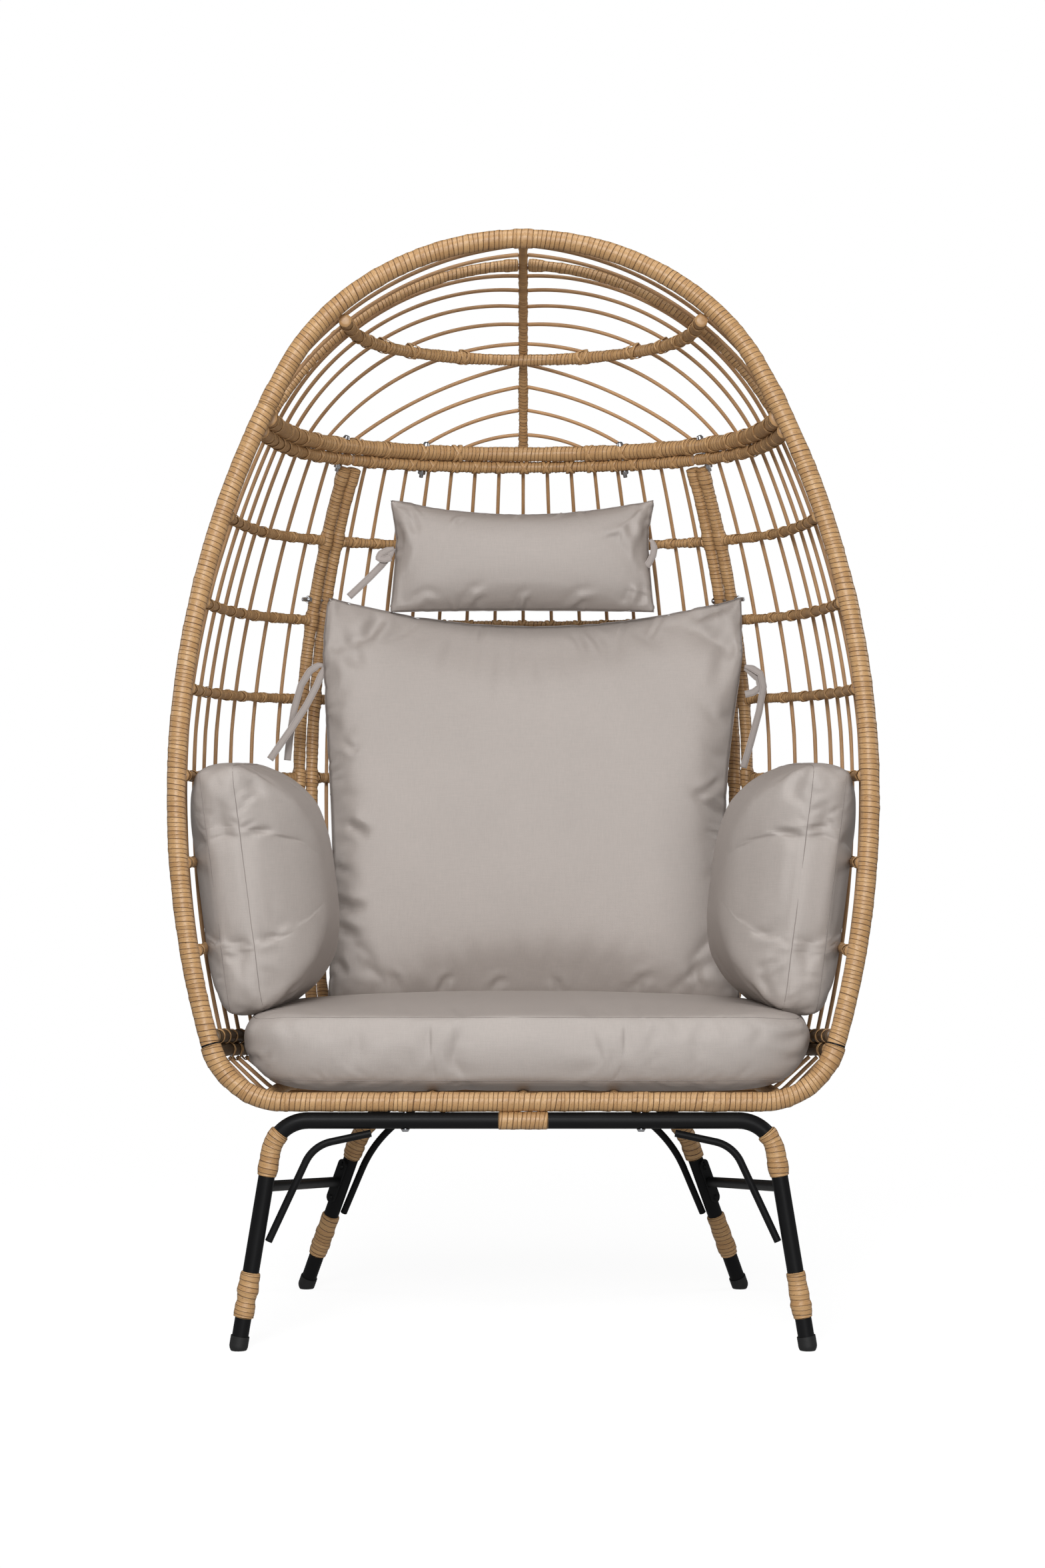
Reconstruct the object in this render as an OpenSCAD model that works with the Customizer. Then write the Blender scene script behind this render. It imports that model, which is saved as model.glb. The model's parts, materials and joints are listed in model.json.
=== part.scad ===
// Egg-shaped garden armchair: a bolted basket of wrapped tubes and thin rods on a black four-leg base,
// with five loose or tied cushions. Millimetres, +Z up, the sitter faces -Y, the feet stand on Z = 0.

/* [Shell] */
// Overall width over the rim at its widest
overall_w = 950; // [930:2:970]
// Height of the rim's bottom bar above the floor, centre to floor
bar_z = 326.2; // [322:0.2:340]
// Length of the rim from the bottom bar to the crown, along the leaning plane
rim_rise = 1174; // [1168:1:1184]
// Lean of the rim's plane back from the vertical
lean = 8; // [6:0.5:9]
// Height of the widest place of the rim above its bar, along the plane
widest_v = 421; // [410:1:430]
// Radius of the long side curves of the rim
side_r = 1220; // [1190:5:1260]
// Radius of the rim's shoulders
shoulder_r = 310; // [306:1:312]
// Polar angle where the side curve meets the shoulder
shoulder_at = 28; // [27.8:0.1:28.3]
// Radius of the rim's bottom corners
corner_r = 102; // [96:1:106]
// Radius of the wrapped rim tube
rim_r = 12.75; // [11.5:0.25:13]
// Wall of the rim tube with its wrapping
rim_wall = 3; // [2:0.5:4]
// Extra radius of the wrapping where it is doubled
wrap_bump = 1.2; // [0.4:0.2:1.4]
// Length of rim above the seat joint's plane where the canopy joint lies
canopy_joint_v = 940; // [934:1:948]
// How far the shell's rails lie inside the rim's centre line
shell_in = 6; // [4:1:8]

/* [Basket plan] */
// Plan radius of the basket's sides at its widest level
plan_side_r = 1700; // [1650:10:1760]
// Plan radius of its rear corners at its widest level
plan_corner_r = 410; // [400:2:420]
// Heading where the side turns into the rear corner
side_turn = 10; // [9:0.5:11]
// Heading where the rear corner turns into the back, at the posts
corner_turn = 43.4; // [42.6:0.2:44.2]

/* [Rails] */
// Height of the top rail of the side and back panels
top_rail_z = 1224; // [1221:1:1227]
// Height of the bottom rail of the side and back panels
bottom_rail_z = 411.5; // [410.5:0.1:414]
// How much the seat and the bottom rails fall towards the back, in degrees
seat_tilt = 4; // [3:0.5:4.5]
// Number of rails between the top and bottom ones
mid_rails = 6; // [4:1:6]
// Height from one of these rails to the next
rail_step = 117; // [112:1:119]
// Radius of the top, bottom and seat rails
edge_rail_r = 8.8; // [8:0.2:9]
// Radius of the rails between them
mid_rail_r = 6.5; // [5:0.25:7]
// Radius of the canopy's lower rail
canopy_rail_r = 11; // [9:0.5:11.5]
// Radius of the upright posts
post_r = 8.75; // [7:0.25:9]
// Distance between the centres of a pair of posts
post_pitch = 25.5; // [23:0.5:27]

/* [Rods] */
// Radius of the thin rods
rod_r = 2.8; // [2:0.1:3]
// Number of rods in each side panel
side_rods = 8; // [6:1:10]
// Distance of the first side rod behind the rim at the widest level
side_rod_start = 56; // [50:1:64]
// How much further back the side rods stand at the top, for one at the rim
rod_fan = 75; // [50:5:85]
// Number of rods on each side of the back panel's centre rod
back_rods = 7; // [5:1:7]
// Spacing of the back rods at the widest level
back_rod_pitch = 44.8; // [38:0.2:45]

/* [Canopy] */
// Radius of the canopy's centre spine
spine_r = 6.5; // [5:0.5:7]
// Radius of the curve of the spine
spine_curve = 587; // [575:1:600]
// Radius of the second arch behind the rim
arch_r = 7.5; // [6:0.5:8]
// Radius of the canopy's level hoop
hoop_r = 8.5; // [7:0.5:9]
// Height of the hoop
hoop_z = 1377; // [1374:1:1380]
// Fall of the hoop towards the back, in degrees
hoop_tilt = 1.2; // [0.6:0.2:1.6]
// Half width of the hoop at the rim
hoop_half_w = 243; // [240:1:245]
// Spine angle of the first rib
first_rib = 3.2; // [3:0.1:3.6]
// Spine angle of the first rib behind the second arch
rib_start = 15.9; // [15.7:0.1:16.1]
// Spine angle from one rib to the next
rib_step = 4.35; // [4.25:0.05:4.4]
// Number of ribs behind the second arch
ribs = 9; // [7:1:9]
// Spine angle of the second arch
arch_at = 12.2; // [11.9:0.1:12.5]
// Rise of a rear rib's curve over its chord, as a share of the chord
rib_bulge = 0.06; // [0.05:0.002:0.07]

/* [Seat] */
// Half width of the seat's floor rail at the front
floor_half_w = 338; // [334:1:342]
// Spacing of the seat's cross rods
seat_rod_pitch = 52; // [46:1:60]
// Number of cross rods
seat_rods = 7; // [5:1:7]
// Number of rods behind them, on each side of the centre
seat_rear_rods = 3; // [2:1:4]

/* [Base] */
// Radius of the black leg tubes
leg_r = 11; // [10:0.25:11.5]
// Wall of the leg tubes
leg_wall = 1.5; // [1:0.25:2]
// Half width between the front feet
front_foot_x = 375; // [365:1:385]
// Half width of the front frame at its top corners
front_top_x = 325; // [318:1:332]
// Bend radius of the front frame
front_bend = 50; // [44:1:56]
// Half width between the rear feet
rear_foot_x = 323; // [316:1:328]
// Half width of the rear frame at its top corners
rear_top_x = 211; // [206:1:216]
// Bend radius of the rear frame
rear_bend = 150; // [135:5:160]
// Distance from the front feet back to the rear feet
foot_span = 546; // [530:2:560]
// Radius of the curved braces
brace_r = 5; // [4:0.25:5.5]
// Radius of the side stretchers
stretcher_r = 7.5; // [6:0.25:8]
// Height of the side stretchers
stretcher_z = 165; // [160:1:170]
// Half distance between the bolts that hold the basket on the base
base_bolt_x = 155; // [150:1:160]
// Radius of the rubber feet
foot_r = 12.4; // [12.2:0.2:14]
// Height of the rubber feet's straight wall
foot_wall_h = 12; // [10:1:16]

/* [Cushions] */
// Half width of the seat cushion
seat_half_w = 384; // [370:1:385]
// Height of the seat cushion from its underside to its top seam
seat_thick = 97; // [90:1:97]
// Crown of the seat cushion above its top seam
seat_crown = 13; // [8:1:14]
// Half width of the back cushion
back_half_w = 304; // [296:1:306]
// Half height of the back cushion
back_half_h = 297; // [290:1:298]
// Half width of the head pillow
pillow_half_w = 195; // [186:1:198]
// Half height of the head pillow
pillow_half_h = 84; // [78:1:85]
// Half height of a side cushion
side_half_h = 169; // [160:1:170]
// Half depth of a side cushion
side_half_d = 142; // [130:1:146]
// Width of a side cushion's boxing band
band_w = 46; // [42:1:48]

/* [Hidden] */
$fn = 40;

// clearances and small construction sizes
gap = 0.3;
touch = 0.2;
inset = 0.1;
lap = 1;
rattan = [0.76, 0.58, 0.38];
rod_brown = [0.62, 0.45, 0.30];
black = [0.13, 0.13, 0.14];
rubber = [0.10, 0.10, 0.10];
zinc = [0.75, 0.76, 0.78];
fabric = [0.70, 0.66, 0.63];

// rim outline in its own plane: x to the right, v up along the plane from the bottom bar
rim_half_w = overall_w/2 - rim_r;
side_c = [rim_half_w - side_r, widest_v];
corner_drop = widest_v - corner_r;
corner_c = [side_c.x + sqrt(pow(side_r - corner_r, 2) - corner_drop*corner_drop), corner_r];
corner_at = -asin(corner_drop/(side_r - corner_r));
shoulder_c = side_c + (side_r - shoulder_r)*[cos(shoulder_at), sin(shoulder_at)];
crown_h = rim_rise - shoulder_c.y;
crown_r = (shoulder_c.x*shoulder_c.x + crown_h*crown_h - shoulder_r*shoulder_r)/(2*(crown_h - shoulder_r));
crown_c = [0, rim_rise - crown_r];
crown_at = atan2(shoulder_c.y - crown_c.y, shoulder_c.x);
joint_at = asin((canopy_joint_v - widest_v)/side_r);

// basket: every level is the same plan, scaled to the rim's width at that height
plan_half_w = rim_half_w - shell_in;
function plan(w, r_side, r_corner, turn_1, turn_2) =
  let(a = [w - r_side, 0])
  let(b = a + (r_side - r_corner)*[cos(turn_1), sin(turn_1)])
  let(r_back = r_corner + b.x/cos(turn_2))
  [[a, r_side], [b, r_corner], [[0, b.y + (r_corner - r_back)*sin(turn_2)], r_back], turn_1, turn_2];
basket = plan(plan_half_w, plan_side_r, plan_corner_r, side_turn, corner_turn);
function segment(p, f) = f <= p[3] ? p[0] : f <= p[4] ? p[1] : p[2];
function plan_point(p, f) = segment(p, f)[0] + segment(p, f)[1]*[cos(f), sin(f)];
side_len = plan_side_r*side_turn*PI/180;
corner_len = plan_corner_r*(corner_turn - side_turn)*PI/180;
back_len = basket[2][1]*(90 - corner_turn)*PI/180;
function heading_at(l) =
  l <= side_len ? l/plan_side_r*180/PI
  : l <= side_len + corner_len ? side_turn + (l - side_len)/plan_corner_r*180/PI
  : corner_turn + (l - side_len - corner_len)/basket[2][1]*180/PI;

function plane_y(z) = (z - bar_z)*tan(lean);
function rim_half(z) = side_c.x + sqrt(side_r*side_r - pow((z - bar_z)/cos(lean) - side_c.y, 2));
function level_scale(z) = (rim_half(z) - shell_in)/plan_half_w;
function shell_point(f, z, out = 0) =
  let(p = level_scale(z)*plan_point(basket, f) + out*[cos(f), sin(f)])
  [p.x, plane_y(z) + p.y, z];
// half width of a scaled plan at a distance y behind its own front
function plan_x(p, s, y, out) =
  let(y1 = s*p[0][0].y + (s*p[0][1] + out)*sin(p[3]))
  let(y2 = s*p[1][0].y + (s*p[1][1] + out)*sin(p[4]))
  let(g = y <= y1 ? p[0] : y <= y2 ? p[1] : p[2])
  s*g[0].x + sqrt(max(0, pow(s*g[1] + out, 2) - pow(y - s*g[0].y, 2)));

// the basket's lower edge is one plan in a plane that falls towards the back
edge_s = level_scale(bottom_rail_z);
edge_y = plane_y(bottom_rail_z);
function seat_plane(p, drop = 0) =
  [p.x, edge_y + p.y*cos(seat_tilt) - drop*sin(seat_tilt), bottom_rail_z - p.y*sin(seat_tilt) - drop*cos(seat_tilt)];
function edge_point(f, out, drop = 0) = seat_plane(edge_s*plan_point(basket, f) + out*[cos(f), sin(f)], drop);

// the whole part is centred on its depth
widest_q = sin(lean)*plan_half_w/(basket[2][0].y + basket[2][1]);
deepest_v = widest_v + side_r*widest_q/sqrt(1 + widest_q*widest_q);
deepest_z = bar_z + deepest_v*cos(lean);
back_reach = shell_point(90, deepest_z, mid_rail_r + touch + 2*rod_r + 2.1).y;
front_reach = rim_r + 0.9;
mid_y = (back_reach - front_reach)/2;

// the canopy's lower rail lies above and inside the panels' top rail, a bolt goes through both
top_slope = (rim_half(top_rail_z) - rim_half(top_rail_z + 20))/20;
canopy_rail_z = top_rail_z + (edge_rail_r + canopy_rail_r + gap + 0.2)/sqrt(1 + top_slope*top_slope);
edge_drop = 2*edge_rail_r + gap;
side_post_f = heading_at(side_len + corner_len - post_pitch/2);
back_post_f = heading_at(side_len + corner_len + post_pitch/2);

// canopy spine in the middle plane, a circle through the crown
spine_z0 = bar_z + rim_rise*cos(lean);
spine_y0 = plane_y(spine_z0);
spine_c = [spine_y0 + 18, spine_z0 - spine_curve];
function spine_point(a, down = 0) =
  [0, spine_c.x + (spine_curve - down)*sin(a), spine_c.y + (spine_curve - down)*cos(a)];
spine_start = asin((rim_r + wrap_bump + 3 - 18)/spine_curve);
spine_end = acos((canopy_rail_z + canopy_rail_r*0.7 - spine_c.y)/spine_curve);

// base
floor_rail_r = 8;
floor_scale = floor_half_w/plan_half_w;
function floor_back(x) = floor_scale*basket[2][0].y + sqrt(pow(floor_scale*basket[2][1], 2) - x*x);
cross_z = bar_z - rim_r - wrap_bump - leg_r + 0.6;
floor_rail_z = bar_z + rim_r - floor_rail_r + 0.4;
rear_cross_z = floor_rail_z - floor_rail_r - gap - leg_r;
rear_cross_y = floor_back(base_bolt_x);
rear_lean = foot_span - rear_cross_y;
seat_rod_z = floor_rail_z - floor_rail_r - touch - rod_r;
leg_end_z = 9;
function front_leg(z) = [front_foot_x + (front_top_x - front_foot_x)*z/cross_z, 0, z];
function rear_leg(z) =
  [rear_foot_x + (rear_top_x - rear_foot_x)*z/rear_cross_z, foot_span - rear_lean*z/rear_cross_z, z];

// ---------- shared shapes ----------
function eased(t) = let(c = min(1, max(0, t))) c*c*(3 - 2*c);
function unit(v) = v/norm(v);
// long arcs are drawn finer
function fine(big) = big > 700 ? 128 : $fn;
module rod(p, q, r) {
  d = q - p;
  translate(p) rotate([0, acos(d.z/norm(d)), atan2(d.y, d.x)]) cylinder(h = norm(d), r = r);
}
module pipe(p, q, r, wall) {
  d = q - p;
  translate(p) rotate([0, acos(d.z/norm(d)), atan2(d.y, d.x)])
    linear_extrude(norm(d)) ring(r, wall);
}
module ring(r, wall) {
  difference() {
    circle(r);
    if (wall > 0) circle(r - wall);
  }
}
// round tube along the circle through p, m and q
module arc_tube(p, m, q, r, wall = 0, over = 0) {
  a = m - p;
  b = q - p;
  n = cross(a, b);
  c = p + (b*b*cross(n, a) + a*a*cross(b, n))/(2*(n*n));
  big = norm(p - c);
  ex = (p - c)/big;
  ez = unit(n);
  ey = cross(ez, ex);
  raw = atan2((q - c)*ey, (q - c)*ex);
  sweep = raw < 0 ? raw + 360 : raw;
  extra = over/big*180/PI;
  multmatrix([[ex.x, ey.x, ez.x, c.x], [ex.y, ey.y, ez.y, c.y], [ex.z, ey.z, ez.z, c.z], [0, 0, 0, 1]])
    rotate([0, 0, -extra]) rotate_extrude(angle = sweep + 2*extra, $fn = fine(big))
      translate([big, 0]) ring(r, wall);
}
// tube along straight runs with round bends, one fillet at each inner point
function fillet(a, p, b, bend) =
  let(u = unit(a - p), w = unit(b - p))
  let(half = acos(u*w)/2)
  let(t = bend/tan(half))
  [p + t*u, p + (bend/sin(half) - bend)*unit(u + w), p + t*w];
module bent_tube(pts, bend, r, wall = 0) {
  n = len(pts) - 1;
  f = [for (i = [1:n - 1]) fillet(pts[i - 1], pts[i], pts[i + 1], bend)];
  thin = wall > 0 ? wall - 2*inset : 0;
  for (i = [0:n - 1]) {
    a = i == 0 ? pts[0] : f[i - 1][2];
    b = i == n - 1 ? pts[n] : f[i][0];
    d = unit(b - a);
    pipe(i == 0 ? a : a - lap*d, i == n - 1 ? b : b + lap*d, r - inset, thin);
  }
  for (i = [0:n - 2]) arc_tube(f[i][0], f[i][1], f[i][2], r, wall);
}
// rim plane: children are drawn with x to the right and y up along the plane
module in_rim_plane() {
  translate([0, 0, bar_z]) rotate([90 - lean, 0, 0]) children();
}
module rim_arc(c, big, a0, a1, r, wall) {
  translate([c.x, c.y, 0]) rotate([0, 0, a0]) rotate_extrude(angle = a1 - a0, $fn = fine(big))
    translate([big, 0]) ring(r, wall);
}
function degrees_of(l, big) = l/big*180/PI;
module both_sides() {
  children();
  mirror([1, 0, 0]) children();
}
// one arc of a level plan, from heading f0 to f1
module level_arc(p, s, z, y, f0, f1, r) {
  g = segment(p, (f0 + f1)/2);
  translate([s*g[0].x, y + s*g[0].y, z]) rotate([0, 0, f0])
    rotate_extrude(angle = f1 - f0) translate([s*g[1], 0]) circle(r);
}
// right half of a level rail from the rim to heading f_end
module side_run(z, r, start, f_end) {
  s = level_scale(z);
  f0 = asin(start/(s*plan_side_r));
  level_arc(basket, s, z, plane_y(z), f0, side_turn, r);
  level_arc(basket, s, z, plane_y(z), side_turn - degrees_of(lap, s*plan_corner_r), f_end, r - inset);
}
// a rail that goes all round the basket behind the rim
module round_rail(p, s, z, y, r, start) {
  f0 = asin(start/(s*p[0][1]));
  more = degrees_of(lap, s*p[1][1]);
  level_arc(p, s, z, y, p[4], 180 - p[4], r);
  both_sides() {
    level_arc(p, s, z, y, f0, p[3], r);
    level_arc(p, s, z, y, p[3] - more + 0.001, p[4] + more, r - inset);
  }
}
// a rod or post on the shell in two arcs, from the lower edge's plane up to a level
// f0, f1, f2 are its headings at the foot, the middle and the top
module shell_rod(f0, f1, f2, z_top, drop, out_low, out_mid, out_top, r) {
  z_mid = (bottom_rail_z + z_top)/2;
  mid = shell_point(f1, z_mid, out_mid);
  arc_tube(edge_point(f0, out_low, drop), shell_point((f0 + 3*f1)/4, (bottom_rail_z + z_mid)/2, out_mid), mid, r);
  arc_tube(mid, shell_point(f1 + 0.35*(f2 - f1), (z_mid + z_top)/2, out_mid), shell_point(f2, z_top, out_top),
    r - inset, 0, lap);
}
module centred() translate([0, -mid_y, 0]) children();

// ---------- canopy ----------
module canopy_rim() color(rattan) centred() in_rim_plane() {
  crown = 180 - 2*crown_at;
  rim_arc(crown_c, crown_r, crown_at, crown_at + crown, rim_r, rim_wall);
  both_sides() {
    rim_arc(shoulder_c, shoulder_r, shoulder_at - degrees_of(lap, shoulder_r),
      crown_at + degrees_of(lap, shoulder_r), rim_r - inset, rim_wall - 2*inset);
    rim_arc(side_c, side_r, joint_at + degrees_of(gap, side_r), shoulder_at, rim_r, rim_wall);
    rim_arc(side_c, side_r, joint_at + degrees_of(gap + 1, side_r), joint_at + degrees_of(24, side_r),
      rim_r + wrap_bump, rim_wall);
  }
  rim_arc(crown_c, crown_r, 90 - degrees_of(12, crown_r), 90 + degrees_of(12, crown_r), rim_r + wrap_bump, rim_wall);
}
hoop_inner = spine_curve - spine_r - hoop_r - 2*touch;
hoop = plan(hoop_half_w, 1000, 270, 8, 60);
hoop_y0 = plane_y(hoop_z);
hoop_low_z = hoop_z - 350*tan(hoop_tilt);
hoop_front = spine_c.x + sqrt(hoop_inner*hoop_inner - pow(hoop_low_z - spine_c.y, 2)) - hoop[2][0].y - hoop[2][1];
function hoop_point(f, out) =
  let(p = plan_point(hoop, f) + out*[cos(f), sin(f)], y = hoop_front + p.y - hoop_y0)
  [p.x, hoop_y0 + y*cos(hoop_tilt), hoop_z - y*sin(hoop_tilt)];
module canopy_hoop() color(rattan) centred()
  translate([0, hoop_y0, hoop_z]) rotate([-hoop_tilt, 0, 0])
    round_rail(hoop, 1, 0, hoop_front - hoop_y0, hoop_r, hoop_y0 + rim_r + 1 - hoop_front);
// a rib runs from outside the lower rail, past the hoop, to the side of the spine at angle a
function rib_top(a, r) = spine_point(a) + [spine_r + gap + r*0.25, 0, 0];
function rib_foot(a, r) =
  let(t = spine_point(a), z = canopy_rail_z + 2, s = level_scale(z), out = canopy_rail_r + r + touch + foot_out)
  let(last = s*basket[2][0].y + sqrt(pow(s*basket[2][1] + out, 2) - last_foot_x*last_foot_x))
  let(y = min(t.y - (t.z - z)*tan(lean), plane_y(z) + last))
  [plan_x(basket, s, y - plane_y(z), out), y, z];
foot_out = 3.2;
last_foot_x = 104;
function hoop_heading(a) = lookup(a, [[2, 2], [7.5, 5], [12, 7.6], [16, 11], [20, 19.5], [24.4, 30], [29, 44], [33.6, 64]]);
crosses_until = 35.2;
hoop_clear = 0.5;
function rib_middle(a, r) =
  a < crosses_until
  ? let(f = hoop_heading(a), n = unit(cross([sin(f), -cos(f), 0], rib_top(a, r) - rib_foot(a, r))))
    hoop_point(f, 0) + (hoop_r + r + touch + hoop_clear)*(n.z < 0 ? -n : n)
  : let(f = rib_foot(a, r), t = rib_top(a, r), up = [0, sin(lean), cos(lean)], d = t - f)
    (f + t)/2 + rib_bulge*((d*up)*[1, 0, 0] - d.x*up) + [0, 3, 0];
module rib(a, r) arc_tube(rib_foot(a, r), rib_middle(a, r), rib_top(a, r), r);
module canopy_ribs() {
  rib(first_rib, rod_r);
  rib((first_rib + arch_at)/2 + 0.3, rod_r);
  for (i = [0:ribs - 1]) rib(rib_start + i*rib_step, rod_r);
}
module canopy_ribs_right() color(rod_brown) centred() canopy_ribs();
module canopy_ribs_left() color(rod_brown) centred() mirror([1, 0, 0]) canopy_ribs();
module canopy_arch() color(rattan) centred() both_sides() rib(arch_at, arch_r);
module canopy_spine() color(rattan) centred()
  arc_tube(spine_point(spine_start), spine_point((spine_start + spine_end)/2), spine_point(spine_end), spine_r);
module canopy_lower_rail() color(rattan) centred() difference() {
  round_rail(basket, level_scale(canopy_rail_z), canopy_rail_z, plane_y(canopy_rail_z), canopy_rail_r,
    rim_r + wrap_bump + 0.5);
  canopy_bolt_holes();
}

// ---------- side panels ----------
module rim_side() centred() in_rim_plane() {
  rim_arc(side_c, side_r, corner_at + degrees_of(3 + gap, side_r), joint_at, rim_r, rim_wall);
}
module side_rim_right() color(rattan) rim_side();
module side_rim_left() color(rattan) mirror([1, 0, 0]) rim_side();
module post(f) difference() {
  shell_rod(f, f, f, top_rail_z - edge_rail_r - 4.2, -edge_rail_r + 16, 0, 0, 0, post_r);
  post_bolt_holes();
}
module side_post_right() color(rattan) centred() post(side_post_f);
module side_post_left() color(rattan) centred() mirror([1, 0, 0]) post(side_post_f);
module side_top_rail() centred() difference() {
  side_run(top_rail_z, edge_rail_r, rim_r + wrap_bump + 0.5, side_post_f + degrees_of(post_r*0.6, plan_corner_r));
  canopy_bolt_holes();
}
module side_top_rail_right() color(rattan) side_top_rail();
module side_top_rail_left() color(rattan) mirror([1, 0, 0]) side_top_rail();
// rails stop at the leaning posts; end is the room left there
function before_post(s, end = 0.3) = side_post_f - degrees_of(post_r + end, s*plan_corner_r);
function side_end(z) = lookup(z, [[522, 0], [639, 1.5], [756, 1.5], [873, 0.65], [1107, 0.3]]);
function past_post(s, end = 1.8) = back_post_f + degrees_of(post_r + end, s*basket[2][1]);
function back_end(z) = lookup(z, [[522, 2.3], [639, 0.85], [756, 0.5], [1107, 0.25]]);
module side_rails() centred() for (i = [1:mid_rails]) {
  z = top_rail_z - i*rail_step;
  side_run(z, mid_rail_r, rim_r + 1, before_post(level_scale(z), side_end(z)));
}
module side_rails_right() color(rattan) side_rails();
module side_rails_left() color(rattan) mirror([1, 0, 0]) side_rails();
// children are drawn level, with y from the rim's plane, and lie in the falling plane
module in_seat_plane(drop = 0) translate([0, edge_y, bottom_rail_z]) rotate([-seat_tilt, 0, 0])
  translate([0, 0, -drop]) children();
module side_bottom_rail() centred() in_seat_plane() {
  level_arc(basket, edge_s, 0, 0, asin((rim_r + 0.6)/(edge_s*plan_side_r)), side_turn, edge_rail_r);
  level_arc(basket, edge_s, 0, 0, side_turn - degrees_of(lap, edge_s*plan_corner_r), before_post(edge_s),
    edge_rail_r - inset);
}
module side_bottom_rail_right() color(rattan) side_bottom_rail();
module side_bottom_rail_left() color(rattan) mirror([1, 0, 0]) side_bottom_rail();
edge_out = edge_rail_r + rod_r + touch + 0.9;
mid_out = mid_rail_r + rod_r + touch + 1.2;
side_post_l = side_len + corner_len - post_pitch/2;
side_rod_pitch = (side_post_l - side_rod_start - 37)/(side_rods - 1);
module side_rods() centred() for (i = [0:side_rods - 1]) {
  l = side_rod_start + i*side_rod_pitch;
  fan = rod_fan*(1 - l/side_post_l);
  shell_rod(heading_at(l + 0.2*fan), heading_at(l), heading_at(l + fan), top_rail_z + 3, 3,
    edge_out, mid_out, edge_out, rod_r);
}
module side_rods_right() color(rod_brown) side_rods();
module side_rods_left() color(rod_brown) mirror([1, 0, 0]) side_rods();

// ---------- back panel ----------
module back_post_right() color(rattan) centred() post(back_post_f);
module back_post_left() color(rattan) centred() mirror([1, 0, 0]) post(back_post_f);
module back_top_rail() color(rattan) centred() difference() {
  f0 = back_post_f - degrees_of(post_r*0.6, basket[2][1]);
  level_arc(basket, level_scale(top_rail_z), top_rail_z, plane_y(top_rail_z), f0, 180 - f0, edge_rail_r);
  canopy_bolt_holes();
}
module back_rails() color(rattan) centred() for (i = [1:mid_rails]) {
  z = top_rail_z - i*rail_step;
  f0 = past_post(level_scale(z), back_end(z));
  level_arc(basket, level_scale(z), z, plane_y(z), f0, 180 - f0, mid_rail_r);
}
module back_bottom_rail() color(rattan) centred() in_seat_plane()
  level_arc(basket, edge_s, 0, 0, past_post(edge_s), 180 - past_post(edge_s), edge_rail_r);
module back_rod(f) shell_rod(f, f, f, top_rail_z + 3, 3, edge_out, mid_out + 0.9, edge_out, rod_r);
module back_rods() color(rod_brown) centred() {
  back_rod(90);
  both_sides() for (i = [1:back_rods]) back_rod(heading_at(side_len + corner_len + back_len - i*back_rod_pitch));
}

// ---------- seat panel ----------
module seat_front_rim() color(rattan) centred() difference() {
  in_rim_plane() {
    rotate([0, 90, 0]) translate([0, 0, -corner_c.x - lap]) linear_extrude(2*corner_c.x + 2*lap)
      ring(rim_r - inset, rim_wall - 2*inset);
    both_sides() {
      rim_arc(corner_c, corner_r, -90, corner_at, rim_r, rim_wall);
      rim_arc(corner_c, corner_r, corner_at - degrees_of(22, corner_r), corner_at - degrees_of(1, corner_r),
        rim_r + wrap_bump, rim_wall);
      translate([base_bolt_x - 9, 0, 0]) rotate([0, 90, 0]) linear_extrude(18)
        ring(rim_r + wrap_bump - 0.6, rim_wall);
    }
  }
  base_bolt_holes();
}
module seat_upper_rail() color(rattan) centred() in_seat_plane(edge_drop)
  round_rail(basket, edge_s, 0, 0, edge_rail_r, rim_r + wrap_bump + 0.9);
module seat_floor_rail() color(rattan) centred() difference() {
  round_rail(basket, floor_scale, floor_rail_z, 0, floor_rail_r, rim_r + 1);
  base_bolt_holes();
}
long_rail_xs = [-120, 0, 120];
module seat_long_rails() color(rattan) centred() for (x = long_rail_xs)
  rod([x, rim_r + 0.5, floor_rail_z], [x, floor_back(abs(x) + floor_rail_r) - floor_rail_r - gap, floor_rail_z],
    floor_rail_r - 1);
// height and half width of the seat's upper rail at a distance y behind the front
function seat_rail_z(y) = bottom_rail_z - edge_drop*cos(seat_tilt) - (y - edge_y)*tan(seat_tilt);
function seat_rail_x(y) = plan_x(basket, edge_s, y - edge_y, 0);
module seat_cross_rods() color(rod_brown) centred() for (i = [0:seat_rods - 1]) {
  y = rim_r + wrap_bump + seat_rod_pitch*(i + 0.8);
  z_top = seat_rail_z(y) - edge_rail_r - touch - 1.8;
  x_top = seat_rail_x(y) - 2;
  x_low = x_top - 54;
  bent_tube([[-x_top, y, z_top], [-x_low, y, seat_rod_z], [x_low, y, seat_rod_z], [x_top, y, z_top]], 42, rod_r);
}
module seat_rear_rods() color(rod_brown) centred() for (i = [-seat_rear_rods:seat_rear_rods]) {
  f = 90 - i*9.5;
  d = [cos(f), sin(f), 0];
  low = basket[2][0].y*floor_scale*[0, 1, 0]
    + (basket[2][1]*floor_scale + floor_rail_r + touch)*d + [0, 0, floor_rail_z - 3];
  high = edge_point(f, -1, edge_drop + edge_rail_r + rod_r + touch);
  arc_tube(low, (low + high)/2 - [0, 0, 5], high, rod_r);
}
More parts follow.
